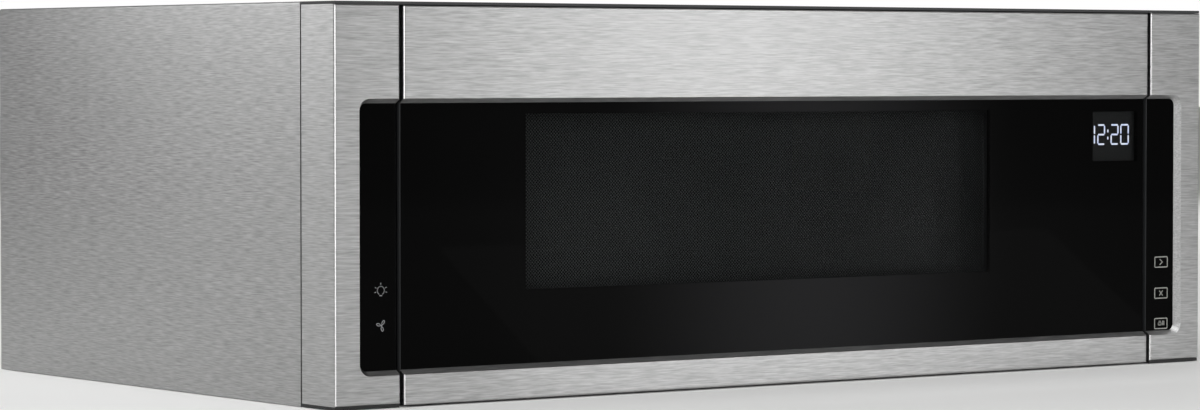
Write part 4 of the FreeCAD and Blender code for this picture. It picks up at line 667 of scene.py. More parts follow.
# Stainless 430, brushed on a belt: a neutral grey with a soft shine.
FRONT_STEEL = BrushedSteel("stainless_front", "#a3a3a3", "#cccccc", 0.36)
CASE_STEEL = BrushedSteel("stainless_case", "#9c9c9c", "#c6c6c6", 0.36)
ZINC_SHEET = GalvanisedSheet("galvanized_steel", "#9a9da0", "#adb0b2")
ZINC_SCREWS = PlainMetal("zinc_screws", "#a9adb2", "#c9ccd0", 0.28, 5.0)
ZINC_HINGES = PlainMetal("zinc_hinges", "#9ea2a6", "#bcc0c4", 0.34, 10.0)
UNDERSIDE_PAINT = PowderPaint("painted_underside", "#595c5f", "#5d6063", 0.44)
FRAME_PAINT = PowderPaint("front_frame_paint", "#909294", "#949698", 0.4)
BLACK_ABS = MouldedPlastic("black_plastic", "#0c0c0d", "#131314", 0.46)
VENT_PLASTIC = MouldedPlastic("vent_plastic", "#2a2b2c", "#2e2f30", 0.5)
# The light end of the door and control glass colours, #1d1d1e, is a painted reflection; the print itself is
# #010101.
# Inside the clear parts of the door glass are the window and the clock.
DOOR_GLASS = PrintedGlass("door_glass", "#010101", "#1d1d1e",
                          ((-25.75, 129.75, 202.55, 57.75), (298.7, 167.65, 22.2, 18.15)))
CONTROL_GLASS = PrintedGlass("control_glass", "#010101", "#1d1d1e")
BOARD = CircuitBoard("circuit_board", "#17452a", "#3a7a4c")
CHARCOAL = GrainyBlock("charcoal", "#0b0b0b", "#232323", 2.4, 0.6, 0.85)
DISPLAY_FACE = MouldedPlastic("display_face", "#101011", "#151516", 0.5, 0.9)
CHOKE_STEEL = PlainMetal("choke_steel", "#8f9295", "#a8abae", 0.36, 18.0)
SCREEN_STEEL = PerforatedScreen("screen_steel", "#444546", "#4f5051")
CLEAR_WINDOW = ClearSheet("clear_sheet", "#6d7071", "#7c7f80", (), "#b2b4b4", 0.6, 0.06)
LATCH_PLASTIC = MouldedPlastic("latch_plastic", "#b9b7b0", "#c6c4bd", 0.4)
SWITCH_PLASTIC = MouldedPlastic("switch_plastic", "#1d1d1f", "#29292b", 0.42)
SPRING_STEEL = PlainMetal("spring_steel", "#8d9094", "#adb0b4", 0.24, 4.0)
OVEN_ENAMEL = Enamel("cavity_enamel", "#85888a", "#949799")
LAMP_HOUSING = PowderPaint("lamp_housing", "#c9cac8", "#d8d9d7", 0.35)
MICA = GrainyBlock("mica", "#a89878", "#c6b899", 4.0, 0.05, 0.5)
MAGNETRON_METAL = PlainMetal("magnetron_metal", "#a3a6a9", "#c4c7ca", 0.3, 14.0)
FAN_NYLON = MouldedPlastic("fan_plastic", "#d2d1cb", "#dddcd6", 0.5)
MOTOR_STEEL = PlainMetal("motor_steel", "#7b7e82", "#989b9f", 0.38, 9.0)
SHAFT_STEEL = PlainMetal("shaft_steel", "#9b9ea2", "#bbbec2", 0.2, 6.0, 0.4)
ROLLER_NYLON = MouldedPlastic("turntable_plastic", "#c4c2ba", "#d0cec7", 0.42)
PLATE_GLASS = ClearSheet("plate_glass", "#cfd8d6", "#e3ebe9", (), "#eff7f4", 1.0, 0.03)
FLAP_ALUMINIUM = PlainMetal("flap_aluminium", "#b3b6b8", "#cbcdcf", 0.35, 20.0)
FILTER_ALUMINIUM = PlainMetal("filter_aluminium", "#b0b3b5", "#d0d3d5", 0.3, 7.0)
LENS_PLASTIC = FrostedLens("lens_plastic", "#dfe2e2", "#f0f2f2")
KEY_INK = Ink("key_ink", "#83837f", "#9c9c97")
ICON_INK = Ink("icon_ink", "#77787a", "#8d8e90")
CLOCK_GLOW = DigitGlow("clock_glow", "#c2cffb", "#f4f6ff")
FLOOR_PAPER = StudioPaper("floor_paper", "#eeeeed", "#f4f4f3")


# ---------------------------------------------------------------- making pieces


def dress(finishes: dict[str, Finish]) -> None:
    """Give CAD nodes their finishes.

    Args:
        finishes: Finish of each node, by the node's name.
    """
    for node, finish in finishes.items():
        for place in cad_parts[node].material_slots:
            place.material = material_of(finish)
        log.info("dressed %s with %s", node, finish.name)


def make_piece(bm: bmesh.types.BMesh, name: str, body: str, finish: Finish) -> bpy.types.Object:
    """Turn a finished bmesh into a piece that rides on a body.

    Args:
        bm: Mesh in metres, in the frame of the CAD; it is freed.
        name: Name of the piece.
        body: Body that it moves with.
        finish: Finish of the piece.

    Returns:
        The new object.
    """
    mesh = bpy.data.meshes.new(name)
    bm.to_mesh(mesh)
    bm.free()
    piece = bpy.data.objects.new(name, mesh)
    bpy.context.scene.collection.objects.link(piece)
    mesh.materials.append(material_of(finish))
    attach(piece, body)
    log.info("built %s on %s: %d faces", name, body, len(mesh.polygons))
    return piece


def add_bar(bm: bmesh.types.BMesh, a: Vector, b: Vector, width: float, depth: float, ends: float = 0.45) -> None:
    """Add a flat bar with rounded ends that stands in the plane of the front.

    Args:
        bm: Mesh that it goes into.
        a: One end, in metres.
        b: Other end, in metres.
        width: Width of the bar in millimetres.
        depth: Thickness of the bar in millimetres.
        ends: Radius of the corners as a share of the width.
    """
    run = b - a
    made = bmesh.ops.create_cube(bm, size=1.0)["verts"]
    size = Matrix.Diagonal((run.length + mm(width), mm(depth), mm(width), 1.0))
    turn = run.to_track_quat("X", "Z").to_matrix().to_4x4()
    bmesh.ops.transform(bm, matrix=Matrix.Translation((a + b) / 2.0) @ turn @ size, verts=made)
    inside = set(made)
    upright = [e for e in bm.edges if e.verts[0] in inside and e.verts[1] in inside
               and abs((e.verts[0].co - e.verts[1].co).y) > mm(depth) * 0.9]
    bmesh.ops.bevel(bm, geom=upright, offset=mm(width) * ends, offset_type="OFFSET", segments=3,
                    affect="EDGES", profile=0.5, material=-1)


def add_plate(bm: bmesh.types.BMesh, centre: Vector, width: float, height: float, corner: float,
              upright: bool) -> bmesh.types.BMFace:
    """Add a flat face with rounded corners.

    Args:
        bm: Mesh that it goes into.
        centre: Its middle, in metres.
        width: Width in millimetres.
        height: Height in millimetres, or length where it lies flat.
        corner: Radius of its corners in millimetres, or 0 for sharp ones.
        upright: True where it stands in the plane of the front.

    Returns:
        The face.
    """
    made = bmesh.ops.create_grid(bm, x_segments=1, y_segments=1, size=0.5)["verts"]
    turn = Matrix.Rotation(math.radians(90.0), 4, "X") if upright else Matrix.Identity(4)
    size = Matrix.Diagonal((mm(width), mm(height), 1.0, 1.0))
    bmesh.ops.transform(bm, matrix=Matrix.Translation(centre) @ turn @ size, verts=made)
    face = made[0].link_faces[0]
    if not corner:
        return face
    rounded = bmesh.ops.bevel(bm, geom=list(face.verts), offset=mm(corner), offset_type="OFFSET", segments=4,
                              affect="VERTICES", profile=0.5, material=-1)
    return max(rounded["verts"][0].link_faces, key=lambda f: f.calc_area())


def add_ring(bm: bmesh.types.BMesh, centre: Vector, size: Span, corner: float, line: float, rise: Vector,
             upright: bool) -> None:
    """Add a closed ring with rounded corners and a square section.

    Args:
        bm: Mesh that it goes into.
        centre: Middle of its first face, in metres.
        size: Outer width and height, or length, in millimetres.
        corner: Outer radius of its corners in millimetres.
        line: Width of the ring in millimetres.
        rise: How far it is thickened, in metres.
        upright: True where it stands in the plane of the front.
    """
    face = add_plate(bm, centre, size[0], size[1], corner, upright)
    thicken(bm, cut_middle(bm, face, line), rise)


def cut_middle(bm: bmesh.types.BMesh, face: bmesh.types.BMFace, line: float) -> list[bmesh.types.BMFace]:
    """Leave only a rim of a face.

    Args:
        bm: Mesh that the face is in.
        face: Face whose middle goes.
        line: Width of the rim in millimetres.

    Returns:
        The faces of the rim.
    """
    rim = bmesh.ops.inset_region(bm, faces=[face], thickness=mm(line), use_boundary=True,
                                 use_even_offset=True)["faces"]
    bmesh.ops.delete(bm, geom=[face], context="FACES")
    return rim


def thicken(bm: bmesh.types.BMesh, faces: list[bmesh.types.BMFace], rise: Vector) -> None:
    """Give flat faces a thickness, with a closed back.

    Args:
        bm: Mesh that they are in.
        faces: Faces that are moved.
        rise: How far they are moved, in metres.
    """
    lifted = bmesh.ops.extrude_face_region(bm, geom=faces)["geom"]
    moved = [v for v in lifted if isinstance(v, bmesh.types.BMVert)]
    bmesh.ops.translate(bm, vec=rise, verts=moved)


def round_edges(bm: bmesh.types.BMesh, radius: float, segments: int = 3) -> None:
    """Round every sharp edge of a mesh.

    Args:
        bm: Mesh with closed faces that point outwards.
        radius: Radius in millimetres.
        segments: Number of steps round each edge.
    """
    sharp = [e for e in bm.edges if len(e.link_faces) == 2 and e.calc_face_angle(0.0) > 1.2]
    bmesh.ops.bevel(bm, geom=sharp, offset=mm(radius), offset_type="OFFSET", segments=segments, affect="EDGES",
                    profile=0.5, material=-1, clamp_overlap=True)


# ---------------------------------------------------------------- sub-assemblies


@dataclass
class Case:
    """Case sheets, wall plate, air path and everything behind the front that isn't seen from outside."""

    def dress(self) -> None:
        """Give each sheet and built-in its finish."""
        dress({
            "case_sides": CASE_STEEL, "case_top": ZINC_SHEET, "base_plate": UNDERSIDE_PAINT,
            "rear_panel": ZINC_SHEET, "wall_plate": ZINC_SHEET, "case_screws": ZINC_SCREWS,
            "front_frame": FRAME_PAINT, "front_frame_latch_side": FRAME_PAINT,
            "top_vent_grille": VENT_PLASTIC, "charcoal_filter": CHARCOAL, "cord_inlet_bushing": BLACK_ABS,
            "damper_frame": ZINC_SHEET, "damper_flap": FLAP_ALUMINIUM, "blower_housing": ZINC_SHEET,
            "blower_motor": MOTOR_STEEL, "blower_shaft": SHAFT_STEEL, "blower_wheels": FAN_NYLON,
            "fan_baffle": ZINC_SHEET, "cooling_fan": FAN_NYLON, "fan_motor": MOTOR_STEEL,
            "magnetron": MAGNETRON_METAL, "waveguide": ZINC_SHEET, "inverter_power_supply": BOARD,
            "control_board": BOARD, "latch_board": LATCH_PLASTIC, "interlock_plungers": LATCH_PLASTIC,
            "interlock_switches": SWITCH_PLASTIC,
        })


@dataclass
class Oven:
    """Oven cavity with its lamp, wave cover and turntable."""

    def dress(self) -> None:
        """Give the liner and the turntable their finishes."""
        dress({
            "cavity_liner": OVEN_ENAMEL, "oven_floor": OVEN_ENAMEL, "cavity_lamp": LAMP_HOUSING,
            "waveguide_cover": MICA, "turntable_motor": MOTOR_STEEL, "turntable_shaft": SHAFT_STEEL,
            "turntable_coupler": ROLLER_NYLON, "turntable_plate": PLATE_GLASS,
            "turntable_drive_studs": PLATE_GLASS, "roller_ring": ROLLER_NYLON, "roller_1": ROLLER_NYLON,
            "roller_2": ROLLER_NYLON, "roller_3": ROLLER_NYLON,
        })


@dataclass
class Clock:
    """Lit digits of the clock behind the door glass, at twenty past twelve."""

    face_y: float = -220.2
    thickness: float = 0.08
    stroke: float = 1.2
    half_height: float = 7.0
    middle_z: float = 168.9
    gap: float = 0.5
    colon_x: float = 294.6
    dot_rise: float = 2.6
    dot_half: float = 0.55
    two: tuple[Segment, ...] = (Segment.TOP, Segment.TOP_RIGHT, Segment.MIDDLE, Segment.LOW_LEFT, Segment.BOTTOM)
    one: tuple[Segment, ...] = (Segment.TOP_RIGHT, Segment.LOW_RIGHT)
    zero: tuple[Segment, ...] = (Segment.TOP, Segment.TOP_LEFT, Segment.TOP_RIGHT, Segment.LOW_LEFT,
                                 Segment.LOW_RIGHT, Segment.BOTTOM)

    def build(self) -> None:
        """Build the four digits and the colon as one piece."""
        bm = bmesh.new()
        # Each digit by its middle, half its width and its lit bars.
        for x, half_width, lit in ((281.3, 0.0, self.one), (288.0, 3.3, self.two), (301.3, 3.4, self.two),
                                   (311.3, 3.7, self.zero)):
            self.add_digit(bm, x, half_width, lit)
        for z in (self.middle_z - self.dot_rise, self.middle_z + self.dot_rise):
            self.add_stroke(bm, self.colon_x, z - self.dot_half, self.colon_x, z + self.dot_half)
        make_piece(bm, "clock_digits", "door", CLOCK_GLOW)

    def add_digit(self, bm: bmesh.types.BMesh, x: float, half_width: float, lit: tuple[Segment, ...]) -> None:
        """Add the lit bars of one digit.

        Args:
            bm: Mesh that they go into.
            x: Middle of the digit in millimetres.
            half_width: Half of its width, to the middle of the bars.
            lit: Bars that are lit.
        """
        for segment in lit:
            (cx, cz), (run_x, run_z) = segment.value
            half_x = max(run_x * half_width - self.gap - self.stroke / 2.0, 0.0)
            half_z = max(run_z * self.half_height - self.gap - self.stroke / 2.0, 0.0)
            if run_x:
                half_x += self.stroke / 4.0
            middle_x = x + cx * half_width
            middle_z = self.middle_z + cz * self.half_height
            self.add_stroke(bm, middle_x - half_x, middle_z - half_z, middle_x + half_x, middle_z + half_z)

    def add_stroke(self, bm: bmesh.types.BMesh, x0: float, z0: float, x1: float, z1: float) -> None:
        """Add one bar between two points of the clock's face."""
        y = self.face_y - self.thickness / 2.0
        add_bar(bm, at(x0, y, z0), at(x1, y, z1), self.stroke, self.thickness)


@dataclass
class LatchSpring:
    """Coil spring that presses the latch bar down and gives way as the bar is lifted; here it is wound at its full
    length.
    """

    wire: float = 0.8
    wire_sides: int = 8
    turns: int = 10
    steps: int = 20
    # The bar is lifted 4 mm of the spring's 25 mm.
    pressed: float = 0.84

    def build(self) -> None:
        """Wind the coil in the place of the plain spring."""
        low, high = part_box("latch_spring")
        middle = (low + high) / 2.0
        radius = (high.x - low.x - mm(self.wire)) / 2.0
        bm = bmesh.new()
        bmesh.ops.create_circle(bm, segments=self.wire_sides, radius=mm(self.wire) / 2.0)
        stand = Matrix.Rotation(math.radians(90.0), 4, "X")
        start = Matrix.Translation((middle.x + radius, middle.y, low.z + mm(self.wire) / 2.0))
        bmesh.ops.transform(bm, matrix=start @ stand, verts=bm.verts)
        steps = self.turns * self.steps
        rise = (high.z - low.z - mm(self.wire)) / steps
        bmesh.ops.spin(bm, geom=list(bm.verts) + list(bm.edges), cent=middle, axis=UP,
                       dvec=(0.0, 0.0, rise), angle=math.tau * self.turns, steps=steps)
        bmesh.ops.holes_fill(bm, edges=[e for e in bm.edges if e.is_boundary], sides=0)
        bmesh.ops.recalc_face_normals(bm, faces=bm.faces)
        piece = make_piece(bm, "latch_coil", "door", SPRING_STEEL)
        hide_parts("latch_spring")
        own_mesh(piece)


@dataclass
class Door:
    """Door with its steel bands, black glass, window, clock, choke frame and latch."""

    clock: Clock
    spring: LatchSpring

    def dress(self) -> None:
        """Give each piece of the door its finish."""
        dress({
            "door_top_band": FRONT_STEEL, "door_bottom_band": FRONT_STEEL, "door_glass": DOOR_GLASS,
            "door_frame": BLACK_ABS, "display_module": DISPLAY_FACE, "door_choke_panel": CHOKE_STEEL,
            "door_screen": SCREEN_STEEL, "door_inner_window": CLEAR_WINDOW, "door_inner_cover": BLACK_ABS,
            "latch_hooks": LATCH_PLASTIC, "door_hinges": ZINC_HINGES,
        })

    def build(self) -> None:
        """Build the clock's digits and the spring of the latch."""
        self.clock.build()
        self.spring.build()


@dataclass
class Columns:
    """Fixed columns at both sides of the door, with black glass and touch keys."""

    glass_y: float = -223.5
    ink: float = 0.06
    key_x: float = 345.7
    key_width: float = 13.4
    key_height: float = 8.3
    key_line: float = 0.75
    key_corner: float = 1.0
    sign_line: float = 0.7
    icon_line: float = 0.6
    lamp_place: Span = (-341.6, 75.1)
    bulb_radius: float = 2.7
    # The bulb's outline is open where its base is.
    bulb_start: float = -60.0
    bulb_sweep: float = 300.0
    bulb_steps: int = 14
    ray_angles: tuple[float, ...] = (-15.0, 25.0, 155.0, 195.0, 90.0)
    ray_reach: Span = (3.9, 4.7)
    ray_line: float = 0.55
    base_half: float = 0.8
    base_drop: float = 3.3
    fan_place: Span = (-341.2, 52.6)
    blade_angles: tuple[float, ...] = (55.0, 165.0, 285.0)
    blade_place: float = 2.35
    blade_radius: float = 1.25
    blade_stretch: Span = (1.35, 0.8)
    blade_line: float = 0.45
    hub: Span = (0.15, 1.1)
    keys: tuple[tuple[float, KeySign], ...] = ((74.2, KeySign.START), (51.2, KeySign.CLEAR), (28.7, KeySign.LOCK))

    def dress(self) -> None:
        """Give the columns, their glass and their carriers a finish."""
        dress({"front_columns": FRONT_STEEL, "control_carriers": BLACK_ABS,
               "control_glasses": CONTROL_GLASS, "touch_boards": BOARD})

    def build(self) -> None:
        """Build the printed keys of the right column and the signs of the left one."""
        for index, (z, sign) in enumerate(self.keys):
            self.build_key(index, z, sign)
        self.build_lamp_sign()
        self.build_fan_sign()

    def stroke(self, bm: bmesh.types.BMesh, x0: float, z0: float, x1: float, z1: float, width: float) -> None:
        """Add one printed stroke between two points on the glass."""
        y = self.glass_y - self.ink / 2.0
        add_bar(bm, at(x0, y, z0), at(x1, y, z1), width, self.ink)

    def build_key(self, index: int, z: float, sign: KeySign) -> None:
        """Build one touch key.

        Args:
            index: Number of the key from the top.
            z: Height of its middle in millimetres.
            sign: Sign inside its outline.
        """
        bm = bmesh.new()
        add_ring(bm, at(self.key_x, self.glass_y, z), (self.key_width, self.key_height), self.key_corner,
                 self.key_line, Vector((0.0, -mm(self.ink), 0.0)), True)
        for (x0, z0), (x1, z1) in sign.value:
            self.stroke(bm, self.key_x + x0, z + z0, self.key_x + x1, z + z1, self.sign_line)
        bmesh.ops.recalc_face_normals(bm, faces=bm.faces)
        make_piece(bm, "touch_key_%d" % (index + 1), "case", KEY_INK)

    def around(self, place: Span, radius: float, angle: float) -> Span:
        """Find a point of the glass at a distance and an angle from another.

        Args:
            place: X and Z of the other point in millimetres.
            radius: Distance in millimetres.
            angle: Angle in degrees, from the right towards the top.

        Returns:
            X and Z of the point.
        """
        turn = math.radians(angle)
        return place[0] + radius * math.cos(turn), place[1] + radius * math.sin(turn)

    def build_lamp_sign(self) -> None:
        """Build the lamp sign: a round bulb with rays and a base."""
        bm = bmesh.new()
        x, z = self.lamp_place
        step = self.bulb_sweep / self.bulb_steps
        for index in range(self.bulb_steps):
            a, b = (self.around(self.lamp_place, self.bulb_radius, self.bulb_start + step * i)
                    for i in (index, index + 1))
            self.stroke(bm, *a, *b, self.icon_line)
        for angle in self.ray_angles:
            a, b = (self.around(self.lamp_place, radius, angle) for radius in self.ray_reach)
            self.stroke(bm, *a, *b, self.ray_line)
        self.stroke(bm, x - self.base_half, z - self.base_drop, x + self.base_half, z - self.base_drop,
                    self.icon_line)
        make_piece(bm, "lamp_sign", "case", ICON_INK)

    def build_fan_sign(self) -> None:
        """Build the fan sign: three open blades round a hub."""
        bm = bmesh.new()
        x, z = self.fan_place
        oval = Matrix.Diagonal((*self.blade_stretch, 1.0, 1.0))
        stand = Matrix.Rotation(math.radians(90.0), 4, "X")
        for angle in self.blade_angles:
            blade = bmesh.ops.create_circle(bm, cap_ends=True, segments=20, radius=mm(self.blade_radius))["verts"]
            turn = Matrix.Rotation(math.radians(angle), 4, "Z")
            blade_x, blade_z = self.around(self.fan_place, self.blade_place, angle)
            place = Matrix.Translation(at(blade_x, self.glass_y, blade_z))
            bmesh.ops.transform(bm, matrix=place @ stand @ turn @ oval, verts=blade)
            rim = cut_middle(bm, blade[0].link_faces[0], self.blade_line)
            thicken(bm, rim, Vector((0.0, -mm(self.ink), 0.0)))
        half, line = self.hub
        self.stroke(bm, x - half, z, x + half, z, line)
        bmesh.ops.recalc_face_normals(bm, faces=bm.faces)
        make_piece(bm, "fan_sign", "case", ICON_INK)


@dataclass
class GreaseFilter:
    """Grease filter of the underside: a folded aluminium rim round two layers of expanded mesh."""

    side: str
    rim: float = 8.0
    corner: float = 3.0
    edge: float = 1.2
    # The diamonds of the expanded mesh are 6 mm long and 3.5 mm wide.
    diamond: Span = (6.0, 3.5)
    strand: float = 0.55
    layers: Span = (3.2, 5.6)
    # The mesh runs this far under the rim.
    lap: float = 1.0
    loop: Span = (26.0, 16.0)
    loop_corner: float = 4.5
    loop_line: float = 2.0
    loop_height: float = 1.8
    loop_edge: float = 0.5
    loop_setback: float = 9.0
    loop_rise: float = 1.5

    @property
    def node(self) -> str:
        """Name of the plain filter in the CAD."""
        return "grease_filter_" + self.side

    def build(self) -> None:
        """Build the rim, the mesh and the pull loop of one filter."""
        for piece in (self.build_rim(), self.build_mesh(), self.build_loop()):
            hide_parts(self.node)

    def add_piece(self, bm: bmesh.types.BMesh, kind: str) -> bpy.types.Object:
        """Turn a finished bmesh into a piece of this filter.

        Args:
            bm: Mesh in metres; it is freed.
            kind: First part of the piece's name.

        Returns:
            The piece.
        """
        return make_piece(bm, kind + "_" + self.side, "filter_" + self.side, FILTER_ALUMINIUM)

    def build_rim(self) -> bpy.types.Object:
        """Build the folded rim.

        Returns:
            The piece.
        """
        bm = bmesh.new()
        low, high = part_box(self.node)
        centre = Vector(((low.x + high.x) / 2.0, (low.y + high.y) / 2.0, low.z))
        width, length = (high.x - low.x) * 1000.0, (high.y - low.y) * 1000.0
        add_ring(bm, centre, (width, length), 0.0, self.rim, Vector((0.0, 0.0, high.z - low.z)), False)
        corners = [e for e in bm.edges if abs(e.verts[0].co.z - e.verts[1].co.z) > mm(1.0)
                   and abs(e.verts[0].co.x - centre.x) > mm(width / 2.0 - 1.0)]
        bmesh.ops.bevel(bm, geom=corners, offset=mm(self.corner), offset_type="OFFSET", segments=5,
                        affect="EDGES", profile=0.5, material=-1)
        bmesh.ops.recalc_face_normals(bm, faces=bm.faces)
        round_edges(bm, self.edge, 4)
        return self.add_piece(bm, "filter_rim")

    def build_mesh(self) -> bpy.types.Object:
        """Build two crossed layers of expanded mesh.

        Returns:
            The piece.
        """
        bm = bmesh.new()
        for index, rise in enumerate(self.layers):
            self.add_layer(bm, rise, index == 1)
        return self.add_piece(bm, "filter_mesh")

    def add_layer(self, bm: bmesh.types.BMesh, rise: float, turned: bool) -> None:
        """Add one layer of diamonds.

        Args:
            bm: Mesh that it goes into.
            rise: Height of the layer in the filter in millimetres.
            turned: True where the long way of the diamonds runs to the back.
        """
        layer = bmesh.new()
        low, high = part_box(self.node)
        middle = (low + high) / 2.0
        cell = self.diamond[::-1] if turned else self.diamond
        # The grid is half as large again as the filter and is turned by 45 degrees, then cut to size.
        reach = max(high.x - low.x, high.y - low.y) * 1.5
        count = int(reach / mm(min(self.diamond)) / 1.4)
        bmesh.ops.create_grid(layer, x_segments=count, y_segments=count, size=count / 2.0)
        bmesh.ops.rotate(layer, cent=(0.0, 0.0, 0.0), matrix=Matrix.Rotation(math.radians(45.0), 3, "Z"),
                         verts=layer.verts)
        root = math.sqrt(2.0)
        bmesh.ops.scale(layer, vec=(mm(cell[0]) / root, mm(cell[1]) / root, 1.0), verts=layer.verts)
        bmesh.ops.translate(layer, vec=(middle.x, middle.y, low.z + mm(rise)), verts=layer.verts)
        inset = mm(self.rim - self.lap)
        sides = (((low.x + inset, 0.0, 0.0), (-1.0, 0.0, 0.0)), ((high.x - inset, 0.0, 0.0), (1.0, 0.0, 0.0)),
                 ((0.0, low.y + inset, 0.0), (0.0, -1.0, 0.0)), ((0.0, high.y - inset, 0.0), (0.0, 1.0, 0.0)))
        for point, outward in sides:
            everything = list(layer.verts) + list(layer.edges) + list(layer.faces)
            bmesh.ops.bisect_plane(layer, geom=everything, plane_co=point, plane_no=outward, clear_outer=True)
        bmesh.ops.wireframe(layer, faces=layer.faces, thickness=mm(self.strand), offset=0.5, use_replace=True,
                            use_boundary=True, use_even_offset=False)
        scratch = bpy.data.meshes.new("filter_layer")
        layer.to_mesh(scratch)
        layer.free()
        bm.from_mesh(scratch)
        bpy.data.meshes.remove(scratch)

    def build_loop(self) -> bpy.types.Object:
        """Build the wire loop that the filter is pulled down by.

        Returns:
            The piece.
        """
        bm = bmesh.new()
        low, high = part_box(self.node)
        centre = Vector(((low.x + high.x) / 2.0, low.y + mm(self.rim + self.loop_setback),
                         low.z + mm(self.loop_rise)))
        add_ring(bm, centre, self.loop, self.loop_corner, self.loop_line,
                 Vector((0.0, 0.0, mm(self.loop_height))), False)
        bmesh.ops.recalc_face_normals(bm, faces=bm.faces)
        round_edges(bm, self.loop_edge)
        return self.add_piece(bm, "filter_loop")


@dataclass
class CooktopLamps:
    """Two lamps of the underside behind ribbed lenses."""

    rib: float = 4.0
    rib_rise: float = 0.9
    lens_width: float = 90.0
    lens_length: float = 40.0
    rim: float = 3.0
    corner: float = 3.0
    play: float = 0.4
    housing_rim: float = 3.9

    def dress(self) -> None:
        """Give the lamp housings their finish."""
        dress({"cooktop_lamps": LAMP_HOUSING})

    def build(self) -> None:
        """Build both lenses."""
        low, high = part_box("lamp_lenses")
        y = (low.y + high.y) / 2.0
        half = (high.x - low.x) / 2.0
        half_lens = mm(self.lens_width / 2.0 + self.housing_rim)
        middle = (low.x + high.x) / 2.0
        for name, side in (("left", -1.0), ("right", 1.0)):
            x = middle + side * (half - half_lens)
            piece = self.build_lens(name, Vector((x, y, low.z)), high.z - low.z)
            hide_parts("lamp_lenses")

    def build_lens(self, name: str, place: Vector, height: float) -> bpy.types.Object:
        """Build one lens with a flat rim and prism ribs.

        Args:
            name: Side of the lens.
            place: Middle of its underside.
            height: Its whole height in metres.

        Returns:
            The piece.
        """
        bm = bmesh.new()
        count = int(self.lens_width / self.rib) * 2
        bmesh.ops.create_grid(bm, x_segments=count, y_segments=1, size=0.5)
        bmesh.ops.scale(bm, vec=(mm(self.lens_width - 2.0 * self.rim), mm(self.lens_length - 2.0 * self.rim), 1.0),
                        verts=bm.verts)
        columns = sorted({round(v.co.x, 6) for v in bm.verts})
        crests = set(columns[1::2])
        bmesh.ops.translate(bm, vec=(0.0, 0.0, -mm(self.rib_rise)),
                            verts=[v for v in bm.verts if round(v.co.x, 6) in crests])
        bmesh.ops.translate(bm, vec=(0.0, 0.0, mm(self.rib_rise)), verts=bm.verts)
        top = bmesh.ops.extrude_face_region(bm, geom=list(bm.faces))["geom"]
        for vert in [v for v in top if isinstance(v, bmesh.types.BMVert)]:
            vert.co.z = height
        add_ring(bm, Vector((0.0, 0.0, 0.0)), (self.lens_width - self.play, self.lens_length - self.play),
                 self.corner, self.rim, Vector((0.0, 0.0, height)), False)
        bmesh.ops.recalc_face_normals(bm, faces=bm.faces)
        bmesh.ops.translate(bm, vec=place, verts=bm.verts)
        return make_piece(bm, "lamp_lens_" + name, "case", LENS_PLASTIC)


# ---------------------------------------------------------------- studio


@dataclass(frozen=True)
class SoftBox:
    """Flat studio light."""

    name: str
    place: Point
    aim: Point
    size: Span
    power: float

    def build(self) -> None:
        """Hang the light and turn it to what it lights."""
        data = bpy.data.lights.new(self.name, "AREA")
        data.shape = "RECTANGLE"
        data.size, data.size_y = self.size
        data.energy = self.power
        light = bpy.data.objects.new(self.name, data)
        light.location = self.place
        light.rotation_euler = (Vector(self.aim) - Vector(self.place)).to_track_quat("-Z", "Y").to_euler()
        bpy.context.scene.collection.objects.link(light)
        log.info("hung %s", self.name)


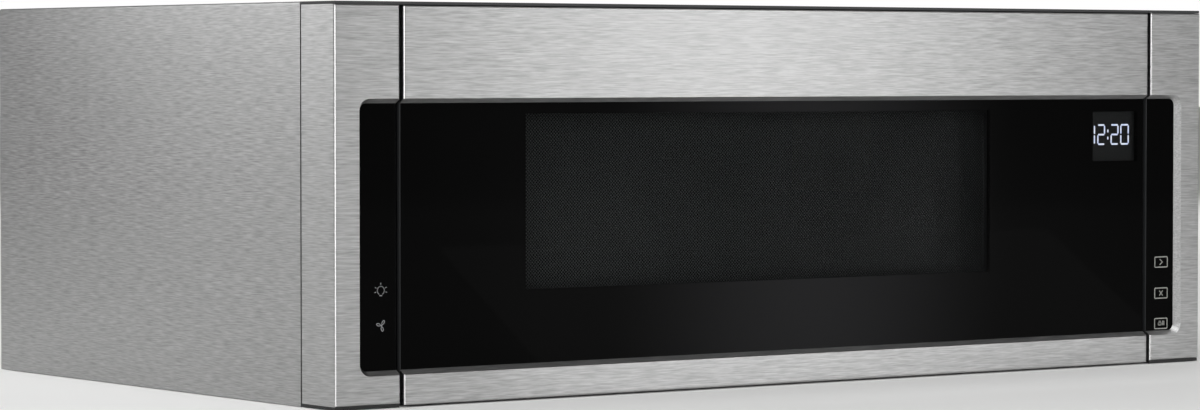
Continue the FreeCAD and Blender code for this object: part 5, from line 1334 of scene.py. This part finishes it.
@dataclass
class Studio:
    """Pale floor, soft lights and the camera."""

    eye: Point = (-1.7575, -2.4025, 0.2163)
    yaw: float = 36.11
    pitch: float = -1.908
    lens: float = 121.8
    floor_size: float = 30.0
    # The floor lies just under the object, so that the two don't flicker.
    floor_drop: float = 0.0004
    # The sky's light rises from the first strength to the second between these heights.
    sky_reach: Span = (0.1, 0.7)
    sky_light: Span = (0.1, 0.3)
    lights: tuple[SoftBox, ...] = (
        SoftBox("overhead", (-0.9, -0.5, 2.6), (0.0, 0.0, 0.1), (2.2, 2.4), 32.0),
        SoftBox("front_strip", (2.15, -3.0285, 1.17), (0.05, -0.2285, 0.13), (0.45, 1.9), 15.5),
        SoftBox("front_left", (-2.8, -3.1, 0.98), (-0.3, -0.25, 0.12), (3.0, 1.9), 105.0),
        # The low one stands for the bright floor that the bottom band mirrors.
        SoftBox("low_ramp", (0.2, -0.45, 0.045), (0.2, 0.15, 1.045), (0.6, 0.16), 0.2),
        SoftBox("side_strip", (-0.98, 0.78, 0.75), (-0.38, -0.1, 0.13), (0.4, 1.1), 3.1),
        SoftBox("rear_right", (2.2, 2.6, 1.8), (0.0, 0.2, 0.1), (1.6, 1.2), 40.0),
    )

    def build(self) -> None:
        """Build the whole studio."""
        self.build_camera()
        self.build_floor()
        self.build_world()
        for light in self.lights:
            light.build()
        bpy.context.scene.view_settings.view_transform = "Standard"

    def build_camera(self) -> None:
        """Set up the camera at the viewing angle of the photograph."""
        data = bpy.data.cameras.new("camera")
        data.lens = self.lens
        data.clip_end = 200.0
        camera = bpy.data.objects.new("camera", data)
        yaw, pitch = math.radians(self.yaw), math.radians(self.pitch)
        ahead = Vector((math.sin(yaw) * math.cos(pitch), math.cos(yaw) * math.cos(pitch), math.sin(pitch)))
        camera.location = self.eye
        camera.rotation_euler = ahead.to_track_quat("-Z", "Y").to_euler()
        bpy.context.scene.collection.objects.link(camera)
        bpy.context.scene.camera = camera
        log.info("set up the camera")

    def build_floor(self) -> None:
        """Lay the pale floor."""
        bm = bmesh.new()
        bmesh.ops.create_grid(bm, x_segments=4, y_segments=4, size=self.floor_size / 2.0)
        bmesh.ops.translate(bm, vec=(0.0, 0.0, -self.floor_drop), verts=bm.verts)
        mesh = bpy.data.meshes.new("floor")
        bm.to_mesh(mesh)
        bm.free()
        mesh.materials.append(material_of(FLOOR_PAPER))
        floor = bpy.data.objects.new("floor", mesh)
        bpy.context.scene.collection.objects.link(floor)
        log.info("laid the floor")

    def build_world(self) -> None:
        """Surround the studio with light that is bright overhead and dim at eye level."""
        world = bpy.data.worlds.new("studio")
        bpy.context.scene.world = world
        world.use_nodes = True
        tree = world.node_tree
        tree.nodes.clear()
        axes = add_node(tree, "SeparateXYZ", (add_node(tree, "TexCoord").outputs["Generated"],))
        rise = add_node(tree, "MapRange", (axes.outputs[2], *self.sky_reach, *self.sky_light))
        lit = add_node(tree, "Background", {"Color": WHITE, "Strength": rise})
        seen = add_node(tree, "Background", {"Color": WHITE, "Strength": 1.0})
        camera_ray = add_node(tree, "LightPath").outputs["Is Camera Ray"]
        both = add_node(tree, "MixShader", (camera_ray, lit, seen))
        add_node(tree, "OutputWorld", (both,))
        log.info("lit the studio")


def main() -> None:
    """Build the studio and every sub-assembly in order."""
    logging.basicConfig(level=logging.INFO, format="%(message)s")
    Studio().build()
    Case().dress()
    Oven().dress()
    door = Door(Clock(), LatchSpring())
    door.dress()
    door.build()
    columns = Columns()
    columns.dress()
    columns.build()
    for side in ("left", "right"):
        GreaseFilter(side).build()
    lamps = CooktopLamps()
    lamps.dress()
    lamps.build()


if __name__ == "__main__":
    main()
